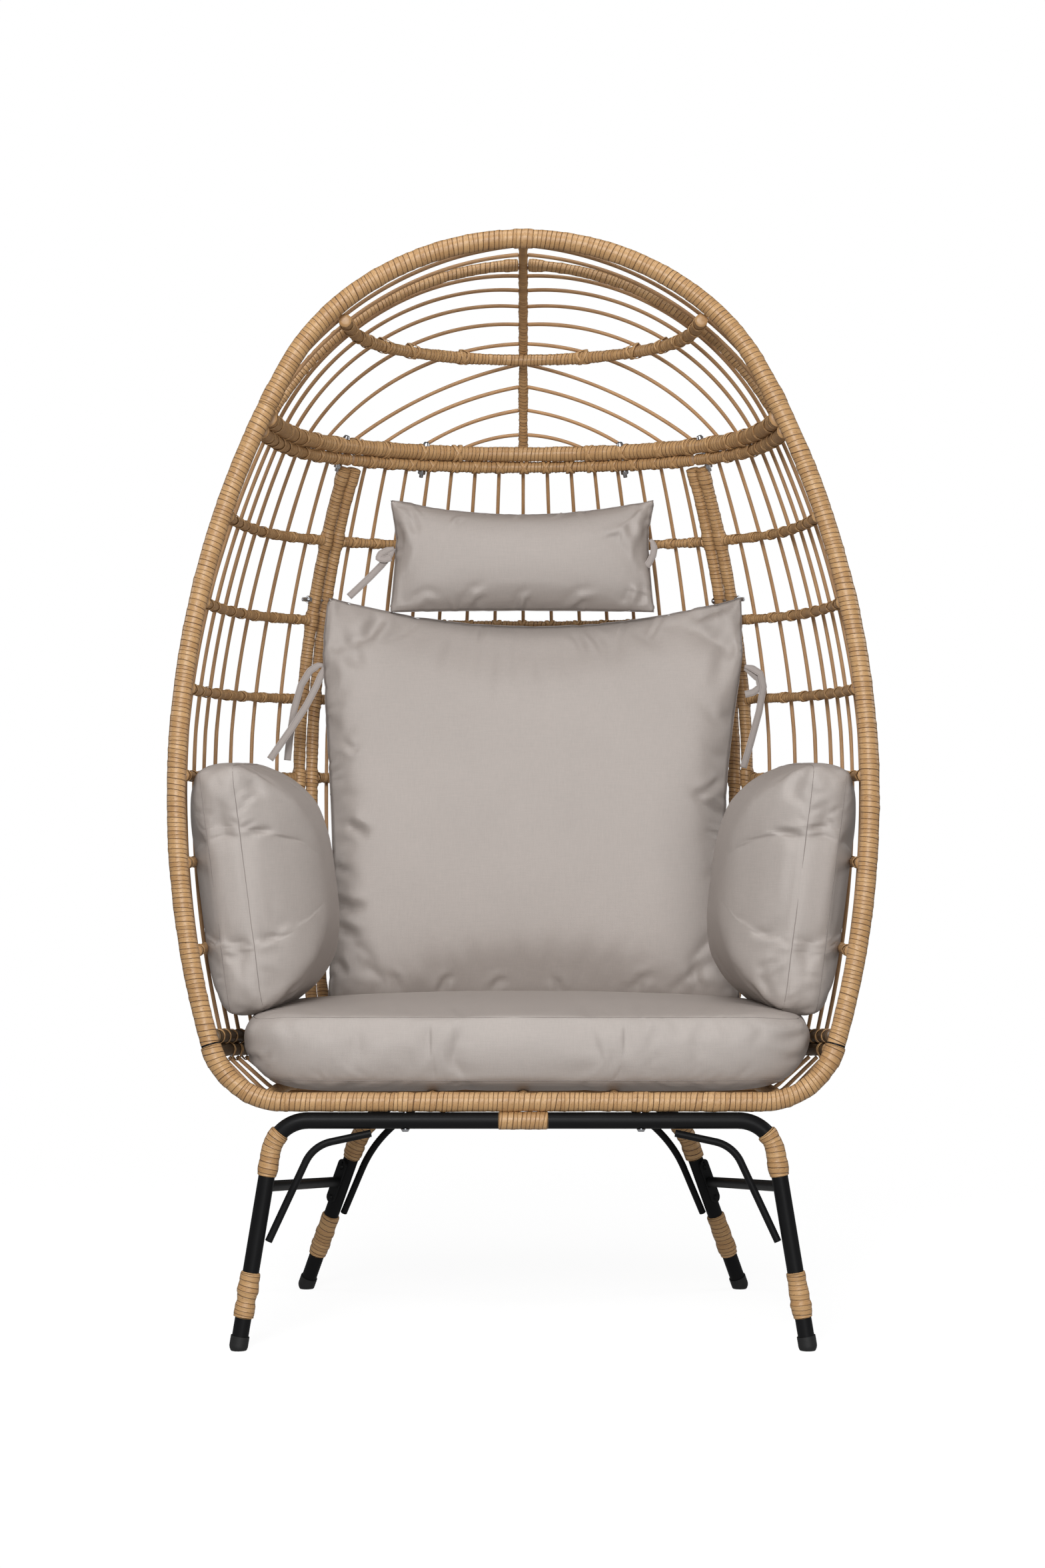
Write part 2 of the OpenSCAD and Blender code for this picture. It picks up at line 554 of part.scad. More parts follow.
module joint_sleeves() color(black) centred() in_rim_plane() both_sides() {
  rim_arc(side_c, side_r, corner_at + degrees_of(gap/2, side_r), corner_at + degrees_of(3 + gap/2, side_r),
    rim_r - 0.4, rim_wall + 1);
  rim_arc(side_c, side_r, corner_at + degrees_of(0.4, side_r), corner_at + degrees_of(26, side_r),
    rim_r - rim_wall - touch, 1.4);
  rim_arc(side_c, side_r, joint_at - degrees_of(26, side_r), joint_at + degrees_of(26, side_r),
    rim_r - rim_wall - touch, 1.4);
}

// ---------- base ----------
front_frame = [
  [-front_leg(leg_end_z).x, 0, leg_end_z], [-front_top_x, 0, cross_z],
  [front_top_x, 0, cross_z], front_leg(leg_end_z)
];
rear_frame = [
  [-rear_leg(leg_end_z).x, rear_leg(leg_end_z).y, leg_end_z], [-rear_top_x, rear_cross_y, rear_cross_z],
  [rear_top_x, rear_cross_y, rear_cross_z], rear_leg(leg_end_z)
];
module front_leg_frame() color(black) centred() difference() {
  bent_tube(front_frame, front_bend, leg_r, leg_wall);
  base_bolt_holes();
  stretcher_screw_holes();
}
module rear_leg_frame() color(black) centred() difference() {
  bent_tube(rear_frame, rear_bend, leg_r, leg_wall);
  base_bolt_holes();
  stretcher_screw_holes();
}
screw_at = 25.8;
plate_w = 17;
plate_t = 3;
plate_turn = 43;
screw_r = 2.4;
screw_hole_r = 2.6;
function axis_of(leg) = unit(leg(stretcher_z + 50) - leg(stretcher_z - 50));
// children lie on a leg: local y out of it, at an angle from straight ahead or behind, local z along it
module on_leg(leg, behind, turn) {
  d = axis_of(leg);
  across = unit(cross([0, 1, 0], d));
  y = sin(turn)*across + behind*cos(turn)*cross(d, across);
  x = cross(y, d);
  c = leg(stretcher_z) + (leg_r + gap)*y;
  multmatrix([[x.x, y.x, d.x, c.x], [x.y, y.y, d.y, c.y], [x.z, y.z, d.z, c.z], [0, 0, 0, 1]]) children();
}
module on_rear_leg() on_leg(function(z) rear_leg(z), -1, plate_turn) children();
module on_front_leg() on_leg(function(z) front_leg(z), 1, 0) children();
module slotted_plate() rotate([-90, 0, 0]) linear_extrude(plate_t) difference() {
  union() {
    translate([-plate_w/2, -screw_at - 3]) square([plate_w, 2*screw_at + 3]);
    translate([0, -screw_at - 3]) circle(plate_w/2);
    translate([0, screw_at]) circle(plate_w/2);
  }
  for (s = [-1, 1]) translate([0, s*screw_at]) circle(screw_hole_r);
  translate([0, -screw_at - 7]) circle(1.7);
}
// everything on the leg's side of a plate's middle
module behind_plate() translate([-60, plate_t/2 - 120, -60]) cube([120, 120, 120]);
stretcher_bend = 22;
function plate_mid(leg, behind, turn) =
  let(d = axis_of(leg), across = unit(cross([0, 1, 0], d)))
  leg(stretcher_z) + (leg_r + gap + plate_t/2)*(sin(turn)*across + behind*cos(turn)*cross(d, across));
module stretcher() centred() {
  start = plate_mid(function(z) rear_leg(z), -1, plate_turn);
  end = plate_mid(function(z) front_leg(z), 1, 0);
  knee = [front_leg(stretcher_z + 45).x, 46, stretcher_z + 45];
  back = unit(start - knee);
  down = unit(end - knee);
  on_rear_leg() slotted_plate();
  on_front_leg() slotted_plate();
  difference() {
    bent_tube([start + 12*back, knee, end + 10*down], stretcher_bend, stretcher_r);
    on_rear_leg() behind_plate();
    on_front_leg() behind_plate();
  }
}
module stretcher_right() color(black) stretcher();
module stretcher_left() color(black) mirror([1, 0, 0]) stretcher();
module front_braces() color(black) centred() both_sides()
  bent_tube([[200, 0, cross_z - leg_r - brace_r - gap - 0.4], [276, 0, cross_z - 33],
      [front_leg(143).x - 16.6, 0, 143]], 48, brace_r);
function in_rear(x, z) = [x, rear_leg(z).y, z];
module rear_braces() color(black) centred() both_sides()
  bent_tube([in_rear(138, rear_cross_z - leg_r - brace_r - 3), in_rear(219, 223),
      in_rear(rear_leg(117).x - 17.4, 117)], 190, brace_r);
module foot(leg) {
  p = leg(leg_end_z);
  d = unit(leg(100) - p);
  tilt = acos(d.z);
  turn = atan2(d.y, d.x);
  translate([0, -mid_y, 0]) difference() {
    translate(p) rotate([0, tilt, turn]) difference() {
      union() {
        translate([0, 0, -2]) cylinder(h = foot_wall_h, r = foot_r);
        translate([0, 0, -2]) sphere(foot_r);
      }
      translate([0, 0, -touch]) cylinder(h = foot_wall_h + 5, r = leg_r + 0.1);
    }
    translate([p.x, p.y, -30]) cube([80, 80, 60], center = true);
  }
}
module foot_front_right() color(rubber) foot(function(z) front_leg(z));
module foot_front_left() color(rubber) mirror([1, 0, 0]) foot(function(z) front_leg(z));
module foot_rear_right() color(rubber) foot(function(z) rear_leg(z));
module foot_rear_left() color(rubber) mirror([1, 0, 0]) foot(function(z) rear_leg(z));
// rattan bindings round the black tubes
wrap_t = 1.8;
wrap_r = leg_r + touch + wrap_t;
// the middle binding is pinched under the rim
pinch_t = 0.3;
module sleeve(p, q) pipe(p, q, wrap_r - inset, wrap_t - 2*inset);
// a point on a frame's bend, at an angle up from the leg
function bend_point(pts, bend, at) =
  let(u = unit(pts[1] - pts[2]), w = unit(pts[3] - pts[2]), half = acos(u*w)/2)
  let(c = pts[2] + bend/sin(half)*unit(u + w), total = 180 - 2*half)
  let(v0 = pts[2] + bend/tan(half)*w - c, v1 = pts[2] + bend/tan(half)*u - c)
  c + (sin(total - at)*v0 + sin(at)*v1)/sin(total);
// binding from a height on the leg up round part of its bend
module bend_wrap(pts, bend, low, at) {
  up = unit(pts[2] - pts[3]);
  sleeve(low, bend_point(pts, bend, 0) + lap*up);
  arc_tube(bend_point(pts, bend, 0), bend_point(pts, bend, at/2), bend_point(pts, bend, at), wrap_r, wrap_t);
}
module base_wraps() color(rattan) centred() {
  pipe([-32, 0, cross_z], [32, 0, cross_z], leg_r + touch + pinch_t, pinch_t);
  both_sides() {
    bend_wrap(front_frame, front_bend, front_leg(230), 33);
    sleeve(front_leg(44), front_leg(102));
    sleeve(rear_leg(54), rear_leg(113));
    bend_wrap(rear_frame, rear_bend, rear_leg(202), 18);
  }
}

// ---------- fasteners ----------
bolt_r = 3;
hole_r = 3.2;
canopy_bolt_ls = [505, 700];
// local z runs up the bolt, z = 0 is midway between the two rails
module at_canopy_bolts() both_sides() for (l = canopy_bolt_ls) {
  a = shell_point(heading_at(l), canopy_rail_z);
  b = shell_point(heading_at(l), top_rail_z);
  d = a - b;
  translate(b + unit(d)*(edge_rail_r + (norm(d) - edge_rail_r - canopy_rail_r)/2))
    rotate([0, acos(d.z/norm(d)), atan2(d.y, d.x)]) children();
}
module canopy_bolt_holes() at_canopy_bolts() translate([0, 0, -40]) cylinder(h = 80, r = hole_r);
module canopy_bolts() color(zinc) centred() at_canopy_bolts() {
  translate([0, 0, -2*edge_rail_r - 11]) cylinder(h = 2*canopy_rail_r + 2*edge_rail_r + 11.6, r = bolt_r);
  translate([0, 0, 2*canopy_rail_r + 0.4 + touch]) cylinder(h = 4, r1 = 5.6, r2 = 3.6);
  translate([0, 0, -2*edge_rail_r - 0.4 - touch - 5]) cylinder(h = 5, r = 5.8, $fn = 6);
}
post_bolt_zs = [560, 1020];
module at_post_bolts() for (z = post_bolt_zs) {
  a = shell_point(side_post_f, z);
  b = shell_point(back_post_f, z);
  d = b - a;
  $half = norm(d)/2;
  translate((a + b)/2) rotate([0, 90, atan2(d.y, d.x)]) children();
}
module post_bolt_holes() at_post_bolts() translate([0, 0, -40]) cylinder(h = 80, r = hole_r);
module post_bolts() color(zinc) centred() both_sides() at_post_bolts() {
  reach = $half + post_r + touch + 1.5;
  translate([0, 0, -reach - 14]) cylinder(h = 2*reach + 14.5, r = bolt_r);
  translate([0, 0, reach]) cylinder(h = 3.6, r1 = 5.4, r2 = 3.6);
  translate([0, 0, -reach - 5]) cylinder(h = 5, r = 5.8, $fn = 6);
}
module at_base_bolts() both_sides() {
  translate([base_bolt_x, 0, cross_z - leg_r]) children();
  translate([base_bolt_x, rear_cross_y, rear_cross_z - leg_r]) children();
}
module base_bolt_holes() at_base_bolts() translate([0, 0, -5]) cylinder(h = 2*leg_r + 16, r = hole_r);
module base_bolts() color(zinc) centred() at_base_bolts() {
  translate([0, 0, -0.5]) cylinder(h = 2*leg_r + 9, r = bolt_r);
  translate([0, 0, -touch - 3.4]) cylinder(h = 3.4, r1 = 4, r2 = 6);
}
module at_stretcher_screws() for (s = [-1, 1]) {
  on_rear_leg() translate([0, 0, s*screw_at]) rotate([-90, 0, 0]) children();
  on_front_leg() translate([0, 0, s*screw_at]) rotate([-90, 0, 0]) children();
}
module stretcher_screw_holes() both_sides() at_stretcher_screws()
  translate([0, 0, -6]) cylinder(h = 9, r = screw_hole_r);
module stretcher_screws() color(black) centred() both_sides() at_stretcher_screws() {
  translate([0, 0, -7]) cylinder(h = 7 + plate_t + 0.5, r = screw_r);
  translate([0, 0, plate_t + touch]) cylinder(h = 2.4, r1 = 4.6, r2 = 3);
}

// ---------- cushions ----------
// closed skin over rings of equal length, with a point at each end
function ring_skin(n, m) = concat(
  [for (j = [0:m - 1]) [0, 1 + (j + 1)%m, 1 + j]],
  [for (i = [0:n - 2]) for (j = [0:m - 1])
    let(a = 1 + i*m + j, b = 1 + i*m + (j + 1)%m, c = a + m, d = b + m) each [[a, b, c], [b, d, c]]],
  [for (j = [0:m - 1]) [1 + n*m, 1 + (n - 1)*m + j, 1 + (n - 1)*m + (j + 1)%m]]);
// seat cushion: rings of [share of the outline, share of its height, share of its crown]
seat_base = bar_z + rim_r + wrap_bump + 0.1;
seat_front = 1;
seat_back = 520;
seat_mid = (seat_front + seat_back)/2;
seat_rings = [
  [0.4, 0, 0], [0.72, 0, 0], [0.8, 0.05, 0], [0.87, 0.15, 0], [0.93, 0.28, 0], [0.972, 0.45, 0], [0.995, 0.65, 0],
  [1, 0.8, 0], [0.985, 0.92, 0], [0.94, 1, 0], [0.8, 1, 0.32], [0.6, 1, 0.66], [0.32, 1, 0.92]
];
// the front and back faces stand steeper than the sides below the middle
function seat_depth_share(g) = g[1] < 0.7 ? 1 - 0.3*(1 - g[0]) : g[0];
function round_end(c, e) = sign(c)*pow(abs(c), 2/e);
function seat_outline(t) =
  let(x = 5 + seat_half_w*round_end(cos(t), 4.6), y = seat_mid + (seat_back - seat_front)/2*round_end(sin(t), 5.2))
  [sign(x)*min(abs(x), seat_rail_x(max(y, 20)) - edge_rail_r - 2.5), y];
// the cushion is pressed down where the back cushion stands on it, and at its sides
function seat_top(x, y, g) =
  seat_thick*g[1] + seat_crown*g[2] - eased((y - 300)/100)*16*g[1]*g[1] - eased((abs(x) - 300)/75)*4*g[1];
module seat_cushion() color(fabric) centred() {
  m = 44;
  pts = concat([[0, seat_mid, seat_base]],
    [for (g = seat_rings) for (j = [0:m - 1])
      let(o = seat_outline(360*j/m), x = g[0]*o.x, y = seat_mid + seat_depth_share(g)*(o.y - seat_mid))
      [x, y, seat_base + seat_top(x, y, g)]],
    [[0, seat_mid, seat_base + seat_thick + seat_crown]]);
  polyhedron(points = pts, faces = ring_skin(len(seat_rings), m), convexity = 4);
}
// knife-edged pillow: sides drawn in between pointed corners, bulged both ways
function pillow_sheet(n, m, w, h, draw, t, sgn) =
  [for (i = [0:n]) for (j = [0:m])
    let(u = -1 + 2*i/n, v = -1 + 2*j/m)
    [w*u*(1 - draw[0]*(1 - v*v)), sgn*t*pow((1 - u*u)*(1 - v*v), 0.42),
      h*v*(1 - (v > 0 ? draw[1] : draw[2])*(1 - u*u))]];
function sheet_faces(n, m, at, flip) =
  [for (i = [0:n - 1]) for (j = [0:m - 1])
    let(a = at + i*(m + 1) + j, b = a + 1, c = a + m + 1, d = c + 1)
    each (flip ? [[a, c, b], [b, c, d]] : [[a, b, c], [b, d, c]])];
function seam_faces(n, m, off) = concat(
  [for (i = [0:n - 1]) let(a = i*(m + 1), b = a + m + 1) each [[a, b, off + a], [b, off + b, off + a]]],
  [for (i = [0:n - 1]) let(a = i*(m + 1) + m, b = a + m + 1) each [[b, a, off + a], [off + b, b, off + a]]],
  [for (j = [0:m - 1]) let(a = j, b = j + 1) each [[b, a, off + a], [off + b, b, off + a]]],
  [for (j = [0:m - 1]) let(a = n*(m + 1) + j, b = a + 1) each [[a, b, off + a], [b, off + b, off + a]]]);
function bowed(p, bow, w) = [p.x, p.y + bow*(1 - pow(p.x/w, 2)), p.z];
// seam is half the thickness of the edge
module pillow(w, h, draw, front, behind, bow, seam = 1.5) {
  n = 18;
  m = 14;
  f = [for (p = pillow_sheet(n, m, w, h, draw, front, -1)) bowed(p, bow, w) - [0, seam, 0]];
  b = [for (p = pillow_sheet(n, m, w, h, draw, behind, 1)) bowed(p, bow, w) + [0, seam, 0]];
  off = (n + 1)*(m + 1);
  polyhedron(points = concat(f, b),
    faces = concat(sheet_faces(n, m, 0, false), sheet_faces(n, m, off, true), seam_faces(n, m, off)), convexity = 6);
}
back_lean = 8.5;
back_seam_y = 428;
back_shift_x = 17;
back_base = seat_base + seat_thick - 3.65;
module back_cushion() color(fabric) centred()
  translate([back_shift_x, back_seam_y, back_base]) rotate([-back_lean, 0, 0]) translate([0, 0, back_half_h])
    pillow(back_half_w, back_half_h, [0.04, 0.11, -0.005], 66, 58, 50);
pillow_z = back_base + 2*back_half_h*cos(back_lean) + pillow_half_h - 21;
pillow_y = 540.9;
pillow_lean = 5;
pillow_shift_x = -2;
module head_pillow() color(fabric) centred()
  translate([pillow_shift_x, pillow_y, pillow_z]) rotate([-pillow_lean, 0, 0])
    pillow(pillow_half_w, pillow_half_h, [0.05, 0.13, 0.1], 46, 40, 20);
// side cushion: local x is its thickness towards the sitter, y its depth, z its height
side_rings = [
  [0.35, -1.0], [0.62, -0.82], [0.84, -0.5], [0.96, -0.18], [1, 0],
  [1, 1], [0.965, 1.16], [0.86, 1.5], [0.66, 1.84], [0.38, 2]
];
outer_crown = 21;
inner_crown = 96;
function side_outline(t) = [side_half_d*round_end(cos(t), 5), side_half_h*round_end(sin(t), 5)];
function side_bulge(k) =
  k <= 0 ? k*outer_crown - band_w/2 : k <= 1 ? (k - 0.5)*band_w : band_w/2 + (k - 1)*inner_crown;
module side_cushion() {
  m = 40;
  pts = concat([[-band_w/2 - outer_crown*1.06, 0, 0]],
    [for (g = side_rings) for (j = [0:m - 1])
      let(o = side_outline(360*j/m)) [side_bulge(g[1]), g[0]*o.x, g[0]*o.y]],
    [[band_w/2 + inner_crown*1.03, 0, 0]]);
  translate([-376, 232, 602.45]) rotate([0, 0, -7]) rotate([0, -7.4, 0])
    polyhedron(points = pts, faces = ring_skin(len(side_rings), m), convexity = 4);
}
module side_cushion_left() color(fabric) centred() side_cushion();
module side_cushion_right() color(fabric) centred() mirror([1, 0, 0]) side_cushion();
module zip_pulls() color(zinc) centred() translate([-372, 117.5, 439.1]) rotate([-20, 12, 0])
  cube([4, 2.4, 13], center = true);

// ---------- ties ----------
// flat tape swept along hand-chosen points; w is its width across, t its thickness
tape_w = 5.5;
tape_t = 1.6;
function bend_at(p, i) = unit((i == 0 ? p[1] - p[0] : i == len(p) - 1 ? p[i] - p[i - 1] : p[i + 1] - p[i - 1]));
module tape(p, face) {
  m = 8;
  n = len(p);
  rings = [for (i = [0:n - 1])
    let(d = bend_at(p, i), across = unit(cross(d, face)), out = cross(across, d))
    for (j = [0:m - 1]) p[i] + tape_w*cos(360*j/m)*across + tape_t*sin(360*j/m)*out];
  polyhedron(points = rings, faces = concat(
      [[for (j = [0:m - 1]) j]],
      [for (i = [0:n - 2]) for (j = [0:m - 1])
        let(a = i*m + j, b = i*m + (j + 1)%m, c = a + m, e = b + m) each [[a, c, b], [b, c, e]]],
      [[for (j = [m - 1:-1:0]) (n - 1)*m + j]]), convexity = 6);
}
function smooth(p, k) = let(n = len(p) - 1) [for (i = [0:n - 1]) for (s = [0:k - 1])
  let(t = s/k, a = p[max(0, i - 1)], b = p[i], c = p[i + 1], d = p[min(n, i + 2)])
  0.5*(2*b + t*(c - a) + t*t*(2*a - 5*b + 4*c - d) + t*t*t*(3*b - a - 3*c + d)), p[n]];
// a point on the side edge of the back cushion or the pillow, v from -1 at the bottom to 1; side is 1 or -1
function back_edge(side, v) =
  let(z = back_half_h*(1 + v))
  [back_shift_x + side*back_half_w*(1 - 0.04*(1 - v*v)), back_seam_y + z*sin(back_lean),
    back_base + z*cos(back_lean)];
function pillow_edge(side, v) =
  let(z = pillow_half_h*v)
  [pillow_shift_x + side*pillow_half_w*(1 - 0.05*(1 - v*v)), pillow_y + z*sin(pillow_lean),
    pillow_z + z*cos(pillow_lean)];
function hung(p, side, steps) = [for (q = steps) p + [side*q.x, q.y, q.z]];
back_tie_steps = [[0.4, 0, 0], [12, -2, -2], [26, -4, -14], [37, -8, -38], [42, -12, -66], [45, -14, -100], [48, -14, -134]];
pillow_tie_steps = [[1.6, 0, 0], [11, -1, -4], [24, -4, -18], [36, -8, -38], [48, -12, -58]];
module back_tie_left() color(fabric) centred()
  tape(smooth(hung(back_edge(-1, 0.68), -1, back_tie_steps), 3), [0, -1, 0]);
module back_tie_right() color(fabric) centred()
  tape(smooth(hung(back_edge(1, 0.68), 1, back_tie_steps), 3), [0, -1, 0]);
module pillow_tie_left() color(fabric) centred()
  tape(smooth(hung(pillow_edge(-1, 0.15), -1, pillow_tie_steps), 3), [0, -1, 0]);
module pillow_tie_right() color(fabric) centred()
  tape(smooth(hung(pillow_edge(1, 0.15), 1, pillow_tie_steps), 3), [0, -1, 0]);

canopy_rim();
canopy_arch();
canopy_hoop();
canopy_spine();
canopy_lower_rail();
canopy_ribs_left();
canopy_ribs_right();
side_rim_left();
side_rim_right();
side_post_left();
side_post_right();
side_top_rail_left();
side_top_rail_right();
side_rails_left();
side_rails_right();
side_bottom_rail_left();
side_bottom_rail_right();
side_rods_left();
side_rods_right();
back_post_left();
back_post_right();
back_top_rail();
back_rails();
back_bottom_rail();
back_rods();
seat_front_rim();
seat_upper_rail();
seat_floor_rail();
seat_long_rails();
seat_cross_rods();
seat_rear_rods();
joint_sleeves();
front_leg_frame();
rear_leg_frame();
stretcher_left();
stretcher_right();
front_braces();
rear_braces();
foot_front_left();
foot_front_right();
foot_rear_left();
foot_rear_right();
base_wraps();
canopy_bolts();
post_bolts();
base_bolts();
stretcher_screws();
seat_cushion();
back_cushion();
head_pillow();
side_cushion_left();
side_cushion_right();
zip_pulls();
back_tie_left();
back_tie_right();
pillow_tie_left();
pillow_tie_right();
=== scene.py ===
"""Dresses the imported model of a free-standing garden egg chair for a studio render.

The CAD model is loaded as a fixed frame. Steel, rubber and zinc nodes keep their own
meshes and get procedural materials. Each strip-wound tube, rod, cushion and tape is
rebuilt here in finer form, in the same place, and stands for its CAD node.
Lengths are in millimetres until a mesh is made, and +Z is up.
"""

from __future__ import annotations

import json
import logging
import math
from collections.abc import Callable, Iterable, Sequence
from dataclasses import dataclass, field, replace
from enum import Enum
from functools import partial

import bmesh
import bpy
import numpy as np
from bpy.types import Material, Mesh, Node, NodeSocket, NodeTree, Object, Scene
from mathutils import Matrix, Vector
from mathutils.bvhtree import BVHTree
from mathutils.kdtree import KDTree

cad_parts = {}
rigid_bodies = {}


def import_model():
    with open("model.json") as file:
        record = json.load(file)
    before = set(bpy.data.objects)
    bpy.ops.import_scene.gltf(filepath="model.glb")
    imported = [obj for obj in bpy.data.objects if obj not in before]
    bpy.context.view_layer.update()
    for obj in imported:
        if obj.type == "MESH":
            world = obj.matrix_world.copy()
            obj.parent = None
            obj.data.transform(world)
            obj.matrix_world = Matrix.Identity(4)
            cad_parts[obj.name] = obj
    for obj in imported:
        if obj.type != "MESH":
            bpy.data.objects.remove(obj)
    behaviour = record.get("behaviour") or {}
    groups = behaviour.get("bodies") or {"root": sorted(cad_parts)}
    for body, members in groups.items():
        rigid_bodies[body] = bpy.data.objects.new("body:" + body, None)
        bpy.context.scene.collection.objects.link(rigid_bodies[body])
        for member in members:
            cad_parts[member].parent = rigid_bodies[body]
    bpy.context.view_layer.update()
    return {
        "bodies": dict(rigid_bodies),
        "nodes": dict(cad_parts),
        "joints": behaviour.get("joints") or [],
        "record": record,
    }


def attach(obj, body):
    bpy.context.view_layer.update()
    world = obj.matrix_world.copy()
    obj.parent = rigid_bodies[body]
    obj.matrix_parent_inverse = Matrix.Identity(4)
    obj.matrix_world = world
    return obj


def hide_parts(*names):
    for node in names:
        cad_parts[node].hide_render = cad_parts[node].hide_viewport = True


LOG = logging.getLogger("egg_chair")
MM = 0.001
IMAGE_W, IMAGE_H = 1568, 2352

Points = np.ndarray
Pair = tuple[float, float]
Triple = tuple[float, float, float]


class Body(str, Enum):
    """The CAD bodies that pieces ride on."""

    FRAME = "frame"
    SEAT = "seat_pad"
    LEFT = "side_pad_left"
    RIGHT = "side_pad_right"


class Finish(str, Enum):
    """The record's material slots."""

    RATTAN = "rattan"
    ROD = "rod"
    STEEL = "black_steel"
    RUBBER = "rubber"
    ZINC = "zinc"
    CLOTH = "cloth"
    TAPE = "tape"


# ---------- dimensions


@dataclass(frozen=True)
class Sizes:
    """The chair's main dimensions, as in the CAD source."""

    mid_y: float = 356.579
    overall_w: float = 950.0
    bar_z: float = 326.2
    rim_rise: float = 1174.0
    lean: float = 8.0
    widest_v: float = 421.0
    side_r: float = 1220.0
    shoulder_r: float = 310.0
    shoulder_at: float = 28.0
    corner_r: float = 102.0
    rim_r: float = 12.75
    wrap_bump: float = 1.2
    joint_v: float = 940.0
    shell_in: float = 6.0
    plan_side_r: float = 1700.0
    plan_corner_r: float = 410.0
    plan_side_turn: float = 10.0
    plan_corner_turn: float = 43.4
    top_rail_z: float = 1224.0
    bottom_rail_z: float = 411.5
    seat_tilt: float = 4.0
    mid_rails: int = 6
    rail_step: float = 117.0
    edge_rail_r: float = 8.8
    mid_rail_r: float = 6.5
    canopy_rail_r: float = 11.0
    canopy_rail_z: float = 1242.52
    post_r: float = 8.75
    post_pitch: float = 25.5
    rod_r: float = 2.8
    side_rods: int = 8
    side_rod_start: float = 56.0
    side_rod_end: float = 37.0
    rod_fan: float = 75.0
    rod_past: float = 3.0
    edge_rod_room: float = 0.9
    side_rod_room: float = 1.2
    back_rod_room: float = 2.1
    back_rods: int = 7
    back_rod_pitch: float = 44.8
    spine_r: float = 6.5
    spine_curve: float = 587.0
    spine_behind: float = 18.0
    arch_r: float = 7.5
    hoop_r: float = 8.5
    hoop_z: float = 1377.0
    hoop_tilt: float = 1.2
    hoop_half_w: float = 243.0
    hoop_side_r: float = 1000.0
    hoop_corner_r: float = 270.0
    hoop_side_turn: float = 8.0
    hoop_corner_turn: float = 60.0
    first_rib: float = 3.2
    rib_start: float = 15.9
    rib_step: float = 4.35
    ribs: int = 9
    arch_at: float = 12.2
    rib_bulge: float = 0.06
    rib_clear: float = 3.2
    last_hoop_rib: float = 35.2
    last_foot_x: float = 104.0
    floor_half_w: float = 338.0
    floor_rail_r: float = 8.0
    seat_rod_pitch: float = 52.0
    seat_rods: int = 7
    seat_rod_slope: float = 54.0
    seat_rod_bend: float = 42.0
    rear_rods: int = 3
    rear_rod_turn: float = 9.5
    long_rail_x: float = 120.0
    leg_r: float = 11.0
    front_foot_x: float = 375.0
    front_top_x: float = 325.0
    front_bend: float = 50.0
    rear_foot_x: float = 323.0
    rear_top_x: float = 211.0
    rear_bend: float = 150.0
    foot_span: float = 546.0
    base_bolt_x: float = 155.0
    front_wrap_z: Triple = (230.0, 102.0, 44.0)
    rear_wrap_z: Triple = (202.0, 113.0, 54.0)
    middle_wrap_x: float = 32.0
    gap: float = 0.3
    touch: float = 0.2
    tape_half_w: float = 5.2
    tape_half_t: float = 0.7


S = Sizes()
MIDDLE = np.array([0.0, S.mid_y, 0.0])

# where ribs cross the hoop: their angle on the spine, and the hoop's heading there
RIBS_ON_HOOP = ((2, 2), (7.5, 5), (12, 7.6), (16, 11), (20, 19.5), (24.4, 30), (29, 44), (33.6, 64))
# room between the rails' ends and the leaning posts, by height
SIDE_RAIL_ROOM = ((522, 0), (639, 1.5), (756, 1.5), (873, 0.65), (1107, 0.3))
BACK_RAIL_ROOM = ((522, 2.3), (639, 0.85), (756, 0.5), (1107, 0.25))


def sind(a: float | Points) -> float | Points:
    """Sine of an angle in degrees."""
    return np.sin(np.radians(a))


def cosd(a: float | Points) -> float | Points:
    """Cosine of an angle in degrees."""
    return np.cos(np.radians(a))


def unit(v: Points) -> Points:
    """Scales vectors to length one along their last axis."""
    v = np.asarray(v, float)
    return v / np.maximum(np.linalg.norm(v, axis=-1, keepdims=True), 1e-12)


def eased(t: float | Points) -> float | Points:
    """Smooth step from 0 to 1."""
    c = np.clip(t, 0.0, 1.0)
    return c * c * (3 - 2 * c)


def turned(a: float) -> Points:
    """Unit vector in the plane at an angle in degrees."""
    return np.array([cosd(a), sind(a)])


def looked_up(x: float, table: Sequence[Pair]) -> float:
    """Value at x, on straight lines between a table's pairs."""
    return float(np.interp(x, *zip(*table)))


def mirrored(points: Points) -> Points:
    """The same path on the other side of the middle plane."""
    return np.asarray(points) * np.array([-1.0, 1.0, 1.0])


def arc_through(p: Points, m: Points, q: Points, count: int = 60) -> Points:
    """Points on the circle through three points, from p over m to q."""
    p, m, q = (np.asarray(v, float) for v in (p, m, q))
    a, b = m - p, q - p
    n = np.cross(a, b)
    c = p + ((b @ b) * np.cross(n, a) + (a @ a) * np.cross(b, n)) / (2 * (n @ n))
    big = np.linalg.norm(p - c)
    ex, ez = (p - c) / big, unit(n)
    ey = np.cross(ez, ex)
    sweep = math.atan2((q - c) @ ey, (q - c) @ ex) % (2 * math.pi)
    t = np.linspace(0, sweep, count)[:, None]
    return c + big * (np.cos(t) * ex + np.sin(t) * ey)


